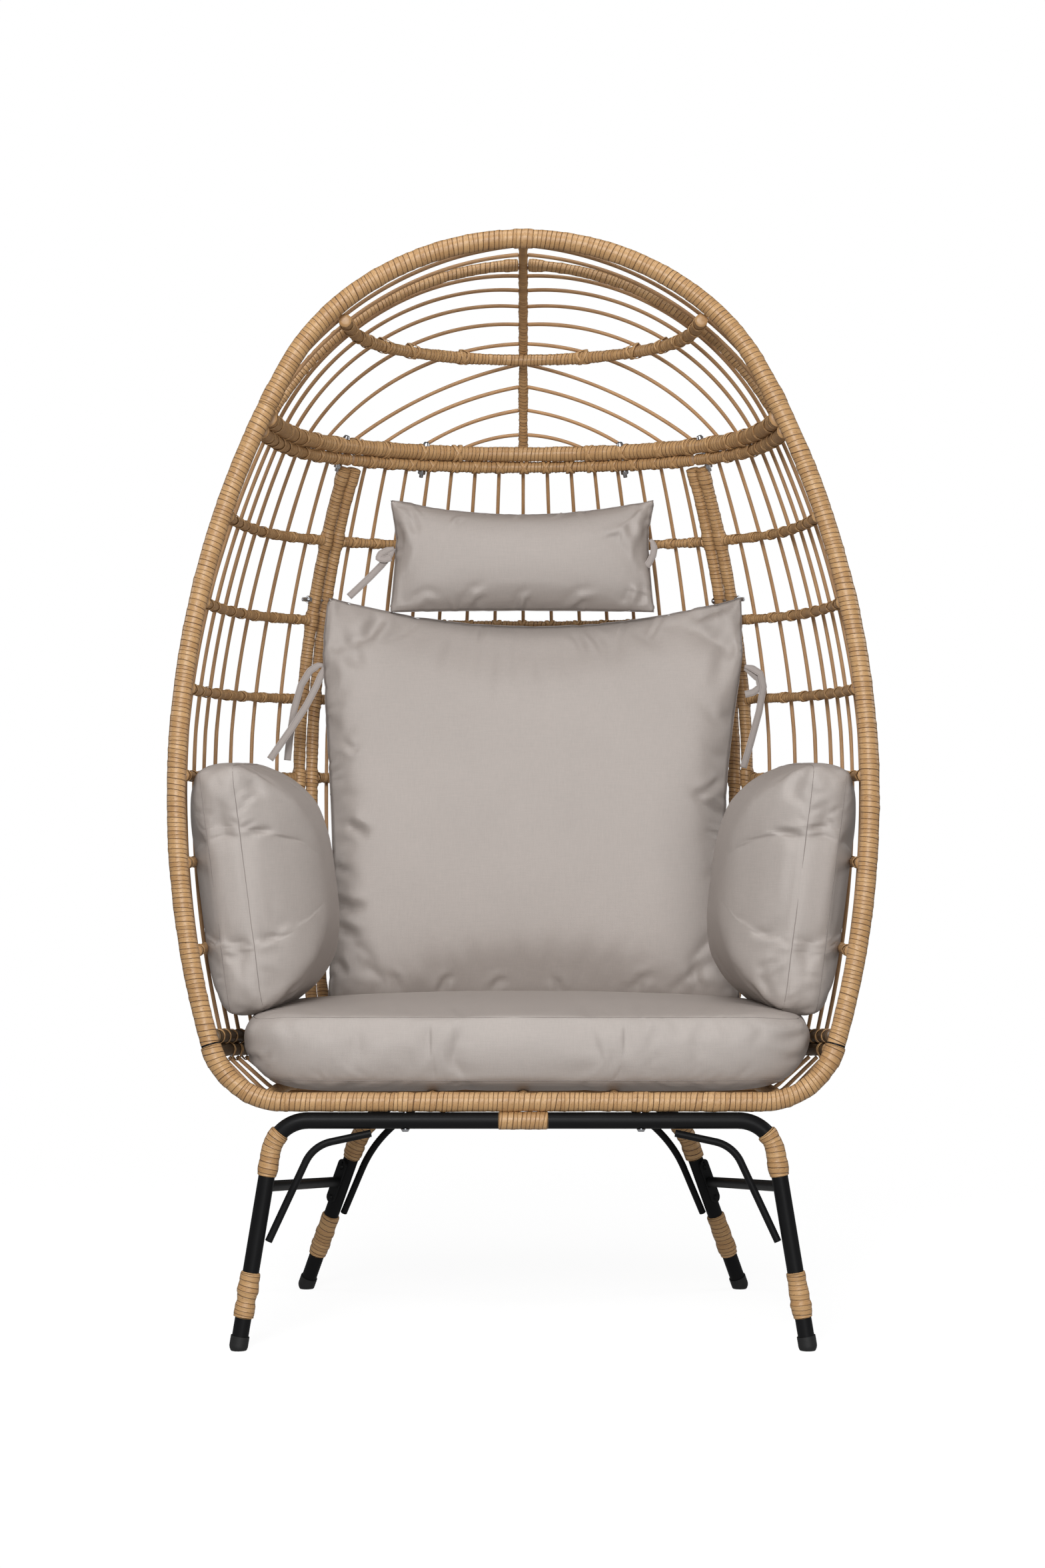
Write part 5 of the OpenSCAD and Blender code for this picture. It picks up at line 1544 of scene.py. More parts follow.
class Studio:
    """Pale floor, white surroundings and soft lights."""

    def build(self) -> None:
        """Makes the stage."""
        scene = bpy.context.scene
        scene.view_settings.view_transform = "Standard"
        scene.view_settings.look = "None"
        self._world(scene)
        self._floor()
        for lamp in LAMPS:
            lamp.make()

    @staticmethod
    def _world(scene: Scene) -> None:
        world = bpy.data.worlds.new("studio")
        world.use_nodes = True
        scene.world = world
        tree = world.node_tree
        tree.nodes.clear()
        out = tree.nodes.new("ShaderNodeOutputWorld")
        path = tree.nodes.new("ShaderNodeLightPath")
        seen = tree.nodes.new("ShaderNodeMath")
        seen.operation = "MAXIMUM"
        tree.links.new(path.outputs["Is Camera Ray"], seen.inputs[0])
        tree.links.new(path.outputs["Is Transmission Ray"], seen.inputs[1])
        mix = tree.nodes.new("ShaderNodeMixShader")
        tree.links.new(seen.outputs[0], mix.inputs[0])
        for i, strength in ((1, DIM), (2, 1.0)):
            glow = tree.nodes.new("ShaderNodeBackground")
            glow.inputs["Color"].default_value = (1, 1, 1, 1)
            glow.inputs["Strength"].default_value = strength
            tree.links.new(glow.outputs[0], mix.inputs[i])
        tree.links.new(mix.outputs[0], out.inputs["Surface"])

    @staticmethod
    def _floor() -> None:
        bm = bmesh.new()
        bmesh.ops.create_circle(bm, cap_ends=True, segments=96, radius=3.0)
        mesh = bpy.data.meshes.new("floor")
        bm.to_mesh(mesh)
        bm.free()
        floor = centred_object("floor", mesh)
        floor.location = (0, 0, -0.0005)
        m = Shader("studio_floor", Base_Color=(0.9, 0.9, 0.9, 1), Roughness=0.8, Specular_IOR_Level=0.0)
        m.feed((1, 1, 1, 1), m.bsdf.inputs["Emission Color"])
        m.feed(0.6, m.bsdf.inputs["Emission Strength"])
        split = m.node("ShaderNodeVectorMath", Vector=m.place())
        split.operation = "LENGTH"
        far = m.value(split.outputs["Value"])
        m.feed(far.step(0.9, 1.9, 0.22, 0.0), m.bsdf.inputs["Alpha"])
        dress(floor, m.material)

# ---------- cushions


@dataclass(frozen=True)
class Fold:
    """A crease in a cushion's face, by points of the picture.

    Args:
        line: Picture points along the crease.
        width: Half width of its valley, in millimetres.
        depth: Depth of its valley; the ridges beside it have half that height.
        side: Side of the higher ridge along the line: 1 right, -1 left, 0 both.
    """

    line: tuple[Pair, ...]
    width: float
    depth: float
    side: int = 0


@dataclass
class Cover:
    """A closed cover of quads and the vertex rows of its seams."""

    verts: Points
    quads: list[tuple[int, ...]]
    seams: list[list[int]]

    def placed(self, matrix: Matrix, sign: int = 1) -> Cover:
        """The cover at its place in the scene, mirrored if sign is -1."""
        m = np.array(matrix)
        p = self.verts @ m[:3, :3].T + m[:3, 3]
        p = (p * np.array([sign, 1, 1]) - MIDDLE) * MM
        return Cover(p, self.quads, self.seams)


def smooth_walk(profile: Sequence[Sequence[float]], weights: Sequence[float]) -> Points:
    """An even, rounded walk along a profile of 121 points."""
    p = np.asarray(profile, float)
    s = np.r_[0, np.cumsum(np.linalg.norm(np.diff(p * np.asarray(weights), axis=0), axis=1))]
    fine = np.linspace(0, s[-1], 121)
    q = np.stack([np.interp(fine, s, p[:, i]) for i in range(p.shape[1])], -1)
    for _ in range(50):
        q[1:-1] = (q[:-2] + 2 * q[1:-1] + q[2:]) / 4
    return q


def along(walk: Points, share: Points) -> Points:
    """Values of a walk at shares of its length."""
    x = np.linspace(0, 1, len(walk))
    return np.stack([np.interp(share, x, walk[:, i]) for i in range(walk.shape[1])], -1)


def border_of(n: int, m: int) -> list[int]:
    """The border of a grid of n by m quads, once round it."""
    grid = np.arange((n + 1) * (m + 1)).reshape(n + 1, m + 1)
    return np.concatenate([grid[n, :m], grid[:0:-1, m], grid[0, :0:-1], grid[:n, 0]]).tolist()


class BoxForm:
    """A cushion of two faces and a band between them, over an outline.

    Args:
        outline: Points of the outline at angles in degrees.
        place: Puts profile values and outline points in space.
        walks: Profiles of the lower face, the band and the upper face.
        across: Quads along the outline's two directions.
        rows: Rows of quads in the band.
    """

    def __init__(
        self,
        outline: Callable[[Points], Points],
        place: Callable[[Points, Points], Points],
        walks: Sequence[Points],
        across: tuple[int, int],
        rows: int,
    ) -> None:
        self.outline, self.place, self.walks = outline, place, walks
        self.n, self.m = across
        self.rows = rows
        t = np.linspace(-45, 315, 1441)
        p = outline(t)
        s = np.r_[0, np.cumsum(np.linalg.norm(np.diff(p, axis=0), axis=1))]
        corner = np.interp([-45, 45, 135, 225, 315], t, s)
        counts = (self.m, self.n, self.m, self.n)
        marks = [np.linspace(a, b, k, endpoint=False) for a, b, k in zip(corner, corner[1:], counts)]
        self.loop = np.interp(np.concatenate(marks), s, t)

    def _face(self, walk: Points) -> Points:
        n, m = self.n, self.m
        u, v = np.meshgrid(np.linspace(-1, 1, n + 1), np.linspace(-1, 1, m + 1), indexing="ij")
        rho = np.maximum(np.maximum(np.abs(u), np.abs(v)), 1e-9)
        a, b = u / rho, v / rho
        edge = 1 - 1e-9
        index = np.select(
            [a >= edge, b >= edge, a <= -edge],
            [(b + 1) / 2 * m, m + (1 - a) / 2 * n, m + n + (1 - b) / 2 * m],
            2 * m + n + (a + 1) / 2 * n,
        )
        t = np.interp(index, np.arange(len(self.loop) + 1), np.r_[self.loop, self.loop[0] + 360])
        return self.place(along(walk, rho), self.outline(t)).reshape(-1, 3)

    def build(self) -> Cover:
        """Makes the cover."""
        low, band, high = self.walks
        n, m = self.n, self.m
        size = (n + 1) * (m + 1)
        verts = [self._face(low), self._face(high)]
        quads = []
        for i in range(n):
            for j in range(m):
                a = i * (m + 1) + j
                quads.append((a, a + 1, a + m + 2, a + m + 1))
                quads.append((size + a, size + a + m + 1, size + a + m + 2, size + a + 1))
        border = border_of(n, m)
        rings = [border]
        for r in range(1, self.rows):
            start = 2 * size + (r - 1) * len(border)
            share = np.full(len(border), r / self.rows)
            verts.append(self.place(along(band, share), self.outline(self.loop)))
            rings.append(list(range(start, start + len(border))))
        rings.append([size + k for k in border])
        for one, two in zip(rings, rings[1:]):
            for k in range(len(border)):
                q = (k + 1) % len(border)
                quads.append((one[k], one[q], two[q], two[k]))
        return Cover(np.vstack(verts), quads, [rings[0] + rings[0][:1], rings[-1] + rings[-1][:1]])


@dataclass(frozen=True)
class KnifeForm:
    """A pillow of two sheets that share one seam.

    Args:
        half_w: Half width.
        half_h: Half height.
        left: Half widths to the left at heights from -1 to 1.
        right: Half widths to the right at heights from -1 to 1.
        dip: How far the top and the bottom edge are drawn in.
        swell: Thickness to the front and to the back.
        bow: How far the middle stands back.
        across: Quads along the width and the height.
    """

    half_w: float
    half_h: float
    left: tuple[Pair, ...]
    right: tuple[Pair, ...]
    dip: Pair
    swell: Pair
    bow: float
    across: tuple[int, int]

    def build(self) -> Cover:
        """Makes the cover."""
        n, m = self.across
        u, v = np.meshgrid(np.linspace(-1, 1, n + 1), np.linspace(-1, 1, m + 1), indexing="ij")
        knots = np.linspace(-1, 1, 81)
        reach = []
        for side in (self.left, self.right):
            r = np.interp(knots, [p[0] for p in side], [p[1] for p in side])
            for _ in range(25):
                r[1:-1] = (r[:-2] + 2 * r[1:-1] + r[2:]) / 4
            reach.append(np.interp(v, knots, r))
        x = (u + 1) / 2 * (reach[0] + reach[1]) - reach[0]
        z = self.half_h * v * (1 - np.where(v > 0, self.dip[0], self.dip[1]) * (1 - u * u))
        full = ((1 - u * u) * (1 - v * v)).clip(0) ** 0.44
        bow = self.bow * (1 - (x / self.half_w) ** 2)
        front = np.stack([x, bow - self.swell[0] * full, z], -1).reshape(-1, 3)
        back = np.stack([x, bow + self.swell[1] * full, z], -1).reshape(-1, 3)
        inner = np.zeros((n + 1, m + 1), bool)
        inner[1:-1, 1:-1] = True
        to_back = np.arange((n + 1) * (m + 1))
        to_back[inner.ravel()] = (n + 1) * (m + 1) + np.arange(inner.sum())
        quads = []
        for i in range(n):
            for j in range(m):
                a = i * (m + 1) + j
                q = (a, a + m + 1, a + m + 2, a + 1)
                quads.append(q)
                quads.append(tuple(int(to_back[k]) for k in reversed(q)))
        border = border_of(n, m)
        return Cover(np.vstack([front, back[inner.ravel()]]), quads, [border + border[:1]])


def coords(mesh: Mesh) -> Points:
    """Vertex positions."""
    out = np.empty(len(mesh.vertices) * 3, np.float32)
    mesh.vertices.foreach_get("co", out)
    return out.reshape(-1, 3).astype(float)


def normals(mesh: Mesh) -> Points:
    """Vertex normals."""
    return np.array([v.normal for v in mesh.vertices], float)


def set_coords(mesh: Mesh, points: Points) -> None:
    """Moves the vertices."""
    mesh.vertices.foreach_set("co", points.astype(np.float32).ravel())
    mesh.update()


def tree_of(mesh: Mesh) -> BVHTree:
    """Search tree of a mesh."""
    bm = bmesh.new()
    bm.from_mesh(mesh)
    bmesh.ops.remove_doubles(bm, verts=bm.verts, dist=1e-5)
    bmesh.ops.recalc_face_normals(bm, faces=bm.faces)
    bmesh.ops.triangulate(bm, faces=bm.faces)
    tree = BVHTree.FromBMesh(bm)
    bm.free()
    return tree


def bake(obj: Object) -> None:
    """Applies an object's modifiers."""
    graph = bpy.context.evaluated_depsgraph_get()
    mesh = bpy.data.meshes.new_from_object(obj.evaluated_get(graph))
    obj.modifiers.clear()
    obj.data = mesh


@dataclass(frozen=True)
class Stuffing:
    """How a cushion is filled and how its seams draw in.

    Args:
        fill: How full it is, from 0 to 1.
        inset: How far its faces are drawn in before they swell.
        pressure: Pressure in the cloth.
        cap: Furthest that the cloth may move.
        growth: Share by which the cloth is wider than the cover.
        gathers: Gathers on each seam, or 0 for one at each step along it.
        reach: Shortest and longest gather.
        depth: Depth of a gather.
        groove: How far the cover is drawn in along a seam.
        thread: Radius of the seam's thread.
    """

    fill: float
    # fill: How full it is, from 0 to 1; not used.
    inset: float
    pressure: float
    cap: float
    growth: float
    gathers: int
    reach: Pair
    depth: float
    groove: float
    thread: float


SEAT_STUFFING = Stuffing(0.85, 2, 3, 7, 0.012, 70, (8, 26), 0.7, 1.2, 0.5)
SIDE_STUFFING = Stuffing(0.75, 4, 4, 8, 0.022, 60, (10, 36), 1.1, 1.3, 0.6)
BACK_STUFFING = Stuffing(0.6, 3, 6, 11, 0.03, 0, (14, 60), 2.2, 0, 0.7)
PILLOW_STUFFING = replace(BACK_STUFFING, fill=0.65, cap=4)
GATHER_STEP, GROOVE_WIDTH, INSET_FADE = 22, 3, 45
# a gather's points along its run, its drift, its width, and its depth as a share of the cushion's
GATHER_WALK, GATHER_DRIFT = (0.04, 0.35, 0.7, 1.0), 0.35
GATHER_WIDTH, GATHER_DEPTH = (2.5, 5.0), (0.4, 1.2)
# the ridges beside a crease: height, way out in widths, and what is left of the lesser one
RIDGE_HEIGHT, RIDGE_OUT, RIDGE_LESS = 0.5, 1.9, 0.15
SEAM_CREASE = 0.85
CLOTH_FRAMES = 20


class Cushion:
    """One stuffed cushion that stands for its CAD solid."""

    def __init__(self, cover: Cover, node: Object, body: Body, stuffing: Stuffing, eye: Eye) -> None:
        self.node = node
        self.body = body
        self.stuffing = stuffing
        self.eye = eye
        self.seams = cover.seams
        self.rng = np.random.default_rng(len(cover.verts))
        mesh = bpy.data.meshes.new(node.name)
        mesh.from_pydata(cover.verts.tolist(), [], cover.quads)
        face_outwards(mesh)
        self.obj = centred_object(f"{node.name}_cover", mesh)
        self.front = tree_of(mesh)

    def make(self, folds: Sequence[Fold], materials: Materials) -> None:
        """Stuffs, sews and creases the cushion."""
        s = self.stuffing
        self.shrink()
        self.swell()
        lines = self.refine()
        for line in lines:
            if s.groove:
                self.groove(line)
            self.pucker(line, s.gathers or int(Track(line / MM).length / GATHER_STEP))
        self.crease(folds)
        self.finish(materials, lines)

    def swell(self) -> None:
        """Inflates the cover as cloth, with its seams held."""
        mesh = self.obj.data
        start = coords(mesh)
        modifier = self.obj.modifiers.new("cloth", "CLOTH")
        s = modifier.settings
        s.quality = 6
        s.mass = 0.25
        s.tension_stiffness = s.compression_stiffness = 16
        s.shear_stiffness = 5
        s.bending_stiffness = 0.35
        s.use_pressure = True
        s.uniform_pressure_force = self.stuffing.pressure
        s.shrink_min = -self.stuffing.growth
        s.effector_weights.gravity = 0
        group = self.obj.vertex_groups.new(name="seams")
        for row in self.seams:
            group.add(sorted(set(row)), 1.0, "REPLACE")
        s.vertex_group_mass = "seams"
        scene = bpy.context.scene
        for frame in range(1, CLOTH_FRAMES + 1):
            scene.frame_set(frame)
        end = coords(self.obj.evaluated_get(bpy.context.evaluated_depsgraph_get()).data)
        self.obj.modifiers.clear()
        self.obj.vertex_groups.clear()
        scene.frame_set(1)
        if len(end) != len(start) or not np.isfinite(end).all():
            LOG.warning("%s: the cloth gave no usable shape", self.node.name)
            return
        move = end - start
        far = np.maximum(np.linalg.norm(move, axis=1, keepdims=True), 1e-9)
        cap = self.stuffing.cap * MM
        move *= cap * np.tanh(far / cap) / far
        set_coords(mesh, start + move)
        LOG.info("%s swelled by up to %.1f mm", self.node.name, far.max() / MM)

    def shrink(self) -> None:
        """Draws the faces in, so that there is room to swell; the seams stay."""
        mesh = self.obj.data
        points, tree = coords(mesh), self._seam_tree()
        near = np.array([tree.find(Vector(p))[2] for p in points]) / MM
        inset = eased(near / INSET_FADE) * self.stuffing.inset * MM
        set_coords(mesh, points - normals(mesh) * inset[:, None])

    def _seam_tree(self) -> KDTree:
        rows = [i for row in self.seams for i in row]
        points = coords(self.obj.data)[rows]
        tree = KDTree(len(points))
        for i, p in enumerate(points):
            tree.insert(Vector(p), i)
        tree.balance()
        return tree

    def refine(self) -> list[Points]:
        """One level of subdivision with crisp seams; gives the seam lines in metres."""
        mesh = self.obj.data
        lines = [coords(mesh)[row] for row in self.seams]
        pairs = {frozenset(p) for row in self.seams for p in zip(row, row[1:])}
        crease = mesh.attributes.new("crease_edge", "FLOAT", "EDGE")
        for edge in mesh.edges:
            if frozenset(edge.vertices) in pairs:
                crease.data[edge.index].value = SEAM_CREASE
        modifier = self.obj.modifiers.new("finer", "SUBSURF")
        modifier.levels = modifier.render_levels = 1
        bake(self.obj)
        self.front = tree_of(self.obj.data)
        return lines

    def sight(self, px: float, py: float) -> Vector | None:
        """The point of the cover behind a picture point."""
        return self.front.ray_cast(self.eye.place * MM, self.eye.toward(px, py))[0]

    def crease(self, folds: Sequence[Fold]) -> None:
        """Presses picture creases into the cover."""
        pressed = []
        for fold in folds:
            hits = [h for h in (self.sight(*p) for p in fold.line) if h is not None]
            if len(hits) < 2:
                LOG.warning("%s: a fold misses the cover", self.node.name)
                continue
            pressed.append((np.array([list(h) for h in hits]) / MM, fold.width, fold.depth, fold.side))
        self.press(pressed)

    def pucker(self, line: Points, count: int) -> None:
        """Short gathers that run off a seam to both sides."""
        track = Track(line / MM)
        pressed = []
        for s in self.rng.uniform(0, track.length, count):
            at = np.array([s])
            p, t = track.at(at)[0], track.heading(at)[0]
            normal = self.front.find_nearest(Vector(p * MM))[1]
            side = self.rng.choice([-1, 1])
            off = side * unit(np.cross(np.array(normal), t)) + t * self.rng.normal(0, GATHER_DRIFT)
            length = self.rng.uniform(*self.stuffing.reach)
            steps = [p + off * length * q for q in GATHER_WALK]
            steps = [np.array(self.front.find_nearest(Vector(q * MM))[0]) / MM for q in steps]
            width = self.rng.uniform(*GATHER_WIDTH)
            depth = self.stuffing.depth * self.rng.uniform(*GATHER_DEPTH)
            pressed.append((np.array(steps), width, depth, 0))
        self.press(pressed)

    def press(self, lines: Sequence[tuple[Points, float, float, int]]) -> None:
        """Presses valleys with soft ridges beside them into the cover."""
        mesh = self.obj.data
        points, out = coords(mesh), normals(mesh)
        push = np.zeros(len(points))
        for hits, width, depth, turn in lines:
            track = Track(hits)
            if track.length < 2:
                continue
            s = np.linspace(0, track.length, max(8, int(track.length / 3)))
            line, heading = track.at(s), track.heading(s)
            reach = width * 4
            box = (points / MM > line.min(0) - reach).all(1) & (points / MM < line.max(0) + reach).all(1)
            index = np.nonzero(box)[0]
            if not len(index):
                continue
            d = points[index][:, None] / MM - line[None]
            dist = np.linalg.norm(d, axis=2)
            k = dist.argmin(1)
            rows = np.arange(len(index))
            near = dist[rows, k]
            side = np.sign(np.sum(np.cross(heading[k], d[rows, k]) * out[index], 1))
            share = k / (len(s) - 1)
            taper = eased((share + 0.08) / 0.3) * eased((1.05 - share) / 0.6)
            valley = -np.exp(-((near / width) ** 2))
            ridge = RIDGE_HEIGHT * np.exp(-(((near - RIDGE_OUT * width) / width) ** 2))
            if turn:
                ridge = ridge * np.where(side == -turn, 1.0, RIDGE_LESS)
            push[index] += depth * taper * (valley + ridge)
        set_coords(mesh, points + out * push[:, None] * MM)

    def groove(self, line: Points) -> None:
        """Draws the cover in along a seam."""
        tree = KDTree(len(line) * 4)
        track = Track(line / MM)
        for i, p in enumerate(track.at(np.linspace(0, track.length, len(line) * 4))):
            tree.insert(Vector(p * MM), i)
        tree.balance()
        mesh = self.obj.data
        points, out = coords(mesh), normals(mesh)
        near = np.array([tree.find(Vector(p))[2] for p in points]) / MM
        push = -self.stuffing.groove * np.exp(-((near / GROOVE_WIDTH) ** 2))
        set_coords(mesh, points + out * push[:, None] * MM)

    def finish(self, materials: Materials, lines: Sequence[Points]) -> None:
        """Adds the seam threads, the materials and the declarations."""
        mesh = self.obj.data
        mesh.polygons.foreach_set("use_smooth", np.ones(len(mesh.polygons), bool))
        tree = tree_of(mesh)
        for i, line in enumerate(lines):
            line = np.array([list(tree.find_nearest(Vector(p))[0]) for p in line])
            skin = Skin()
            # the thread is a small ridge along the seam, and its darker cloth paints the shade in the seam's
            # groove
            thread = Tube(line / MM, self.stuffing.thread, (0.3, 0.2, 0.93), 0, columns=6)
            thread.skin(skin, np.random.default_rng(i), i)
            name = f"{self.node.name}_seam_{i + 1}"
            declare(centred_object(name, skin.mesh(name)), materials.seam, self.body)
        declare(self.obj, materials.cloth, self.body, self.node.name)


def round_end(c: Points, e: float) -> Points:
    """Cosine or sine of a superellipse of an exponent."""
    return np.sign(c) * np.abs(c) ** (2 / e)


@dataclass(frozen=True)
class PadSizes:
    """The cushions' dimensions and places, as in the CAD source."""

    seat_offset: float = 5.0
    seat_half_w: float = 384.0
    seat_mid: float = 260.5
    seat_half_d: float = 259.5
    seat_thick: float = 97.0
    seat_crown: float = 13.0
    seat_z: float = 340.25
    side_half_d: float = 142.0
    side_half_h: float = 169.0
    side_place: Triple = (-376, 232, 602.45)
    side_turns: tuple[tuple[float, str], ...] = ((-7, "Z"), (-7.4, "Y"))
    back_half_w: float = 304.0
    back_half_h: float = 297.0
    back_place: Triple = (17, 428, 433.6)
    back_lean: float = -8.5
    pillow_half_w: float = 195.0
    pillow_half_h: float = 84.0
    pillow_place: Triple = (-2, 540.9, 1084.07)
    pillow_lean: float = -5.0


PADS = PadSizes()
# profiles of the lower face, the band and the upper face: share of the outline, height and crown
SEAT_WALKS = (
    ((0, 0, 0), (0.45, 0, 0), (0.76, 0, 0), (0.86, 0.04, 0), (0.92, 0.13, 0)),
    (
        (0.92, 0.13, 0),
        (0.962, 0.27, 0),
        (0.985, 0.45, 0),
        (0.997, 0.65, 0),
        (1, 0.8, 0),
        (0.99, 0.92, 0),
        (0.965, 1, 0),
    ),
    ((0, 1, 1), (0.32, 1, 0.92), (0.6, 1, 0.66), (0.82, 1, 0.32), (0.965, 1, 0)),
)
# the same for the side cushions: share of the outline and distance from the middle plane
SIDE_WALKS = (
    ((0, -57), (0.35, -56), (0.62, -53), (0.84, -45), (0.95, -34), (1, -23)),
    ((1, -23), (1.012, 0), (1, 23)),
    ((0, 112), (0.38, 109), (0.66, 95), (0.86, 66), (0.965, 36.4), (1, 23)),
)


class CushionMaker:
    """Makes the five cushions."""

    def __init__(self, frame: dict, chair: Chair, eye: Eye, materials: Materials) -> None:
        self.nodes = frame["nodes"]
        self.chair = chair
        self.eye = eye
        self.materials = materials

    def build(self) -> None:
        """Makes every cushion."""
        self._seat()
        self._side("left", Body.LEFT, 1, LEFT_FOLDS)
        self._side("right", Body.RIGHT, -1, RIGHT_FOLDS)
        self._back()
        self._pillow()

    def _seat(self) -> None:
        p = PADS
        rail_x = np.vectorize(self.chair.seat_rail_x)

        def outline(t: Points) -> Points:
            e = 5.0 + 5.0 * eased(-sind(t) * 1.5)
            x = p.seat_offset + p.seat_half_w * round_end(cosd(t), e)
            y = p.seat_mid + p.seat_half_d * round_end(sind(t), e)
            limit = rail_x(np.maximum(y, 20)) - S.edge_rail_r - 2.5
            return np.stack([np.sign(x) * np.minimum(np.abs(x), limit), y], -1)

        def place(g: Points, o: Points) -> Points:
            share, h, crown = g[..., 0], g[..., 1], g[..., 2]
            low = np.where(share < 0.76, share / 0.76 * 0.928, 1 - 0.3 * (1 - share))
            deep = np.where(h < 0.7, low, share)
            x, y = share * o[..., 0], p.seat_mid + deep * (o[..., 1] - p.seat_mid)
            z = p.seat_thick * h + p.seat_crown * crown - eased((y - 300) / 100) * 16 * h * h
            z = z - eased((np.abs(x) - 300) / 75) * 4 * h
            return np.stack([x, y, p.seat_z + z], -1)

        walks = [smooth_walk(walk, (300, p.seat_thick, p.seat_crown)) for walk in SEAT_WALKS]
        cover = BoxForm(outline, place, walks, (84, 56), 11).build().placed(Matrix())
        self._cushion("seat_cushion", cover, Body.SEAT, SEAT_STUFFING, SEAT_FOLDS)

    def _side(self, which: str, body: Body, sign: int, folds: Sequence[Fold]) -> None:
        p = PADS

        def outline(t: Points) -> Points:
            e = 5.0 + 11.0 * eased(-cosd(t) * 1.6)
            y, z = p.side_half_d * round_end(cosd(t), e), p.side_half_h * round_end(sind(t), e)
            return np.stack([y, z], -1)

        def place(g: Points, o: Points) -> Points:
            return np.stack([g[..., 1], g[..., 0] * o[..., 0], g[..., 0] * o[..., 1]], -1)

        walks = [smooth_walk(walk, (155, 1)) for walk in SIDE_WALKS]
        frame = Matrix.Translation(p.side_place)
        for angle, axis in p.side_turns:
            frame = frame @ Matrix.Rotation(math.radians(angle), 4, axis)
        cover = BoxForm(outline, place, walks, (38, 44), 6).build().placed(frame, sign)
        self._cushion(f"side_cushion_{which}", cover, body, SIDE_STUFFING, folds)

    def _back(self) -> None:
        form = KnifeForm(
            PADS.back_half_w,
            PADS.back_half_h,
            ((-1, 299), (-0.6, 294), (-0.33, 294), (0, 298), (0.45, 307), (0.75, 311), (0.9, 309), (1, 303)),
            ((-1, 296), (-0.6, 285), (-0.1, 278), (0.09, 281), (0.38, 291), (0.69, 305), (1, 304)),
            dip=(0.11, -0.005),
            swell=(66, 58),
            bow=50,
            across=(72, 70),
        )
        frame = Matrix.Translation(PADS.back_place) @ Matrix.Rotation(math.radians(PADS.back_lean), 4, "X")
        cover = form.build().placed(frame @ Matrix.Translation((0, 0, PADS.back_half_h)))
        self._cushion("back_cushion", cover, Body.FRAME, BACK_STUFFING, BACK_FOLDS)

    def _pillow(self) -> None:
        form = KnifeForm(
            PADS.pillow_half_w,
            PADS.pillow_half_h,
            ((-1, 194), (-0.3, 189), (0.3, 186), (1, 195)),
            ((-1, 195), (-0.3, 190), (0.3, 187), (1, 195)),
            dip=(0.22, 0.06),
            swell=(46, 40),
            bow=20,
            across=(60, 28),
        )
        turn = Matrix.Rotation(math.radians(PADS.pillow_lean), 4, "X")
        cover = form.build().placed(Matrix.Translation(PADS.pillow_place) @ turn)
        self._cushion("head_pillow", cover, Body.FRAME, PILLOW_STUFFING, PILLOW_FOLDS)

    def _cushion(
        self, node: str, cover: Cover, body: Body, stuffing: Stuffing, folds: Sequence[Fold]
    ) -> None:
        Cushion(cover, self.nodes[node], body, stuffing, self.eye).make(folds, self.materials)


SEAT_FOLDS = (
    Fold(((370, 1578), (385, 1588), (402, 1602)), 5, 5),
    Fold(((378, 1602), (394, 1592), (408, 1578)), 4, 3),
    Fold(((1210, 1548), (1186, 1558), (1150, 1555)), 7, 3),
    Fold(((1206, 1580), (1188, 1588), (1170, 1586)), 5, 2.5),
)
LEFT_FOLDS = (
    Fold(((352, 1140), (372, 1170), (400, 1196)), 8, 3),
    Fold(((364, 1196), (376, 1198), (384, 1192)), 3.5, 2.2),
    Fold(((370, 1244), (390, 1246), (412, 1244)), 4, 2.6, 1),
    Fold(((376, 1290), (388, 1290), (400, 1286)), 4, 2),
    Fold(((384, 1360), (396, 1352), (408, 1345)), 4, 2.2),
    Fold(((400, 1378), (418, 1390), (440, 1376)), 5, 2.6),
    Fold(((390, 1410), (412, 1406), (428, 1412)), 5, 2.8, 1),
    Fold(((332, 1402), (322, 1412), (314, 1420)), 5, 2.4),
    Fold(((330, 1372), (320, 1372), (312, 1366)), 4, 1.8),
    Fold(((322, 1288), (312, 1296), (306, 1300)), 4, 1.8),
    Fold(((452, 1480), (440, 1490), (420, 1500)), 6, 2.4),
)
RIGHT_FOLDS = (
    Fold(((1216, 1150), (1196, 1170), (1178, 1205)), 8, 3),
    Fold(((1200, 1252), (1176, 1250), (1150, 1262)), 5, 2.8, 1),
    Fold(((1196, 1300), (1182, 1330), (1178, 1362)), 6, 2.2),
    Fold(((1180, 1385), (1150, 1400), (1120, 1398)), 6, 2.6, -1),
    Fold(((1164, 1440), (1146, 1452), (1132, 1450)), 5, 2.4),
    Fold(((1160, 1500), (1144, 1470), (1140, 1440)), 6, 2.4),
    Fold(((1250, 1330), (1262, 1340), (1268, 1348)), 4, 1.8),
)
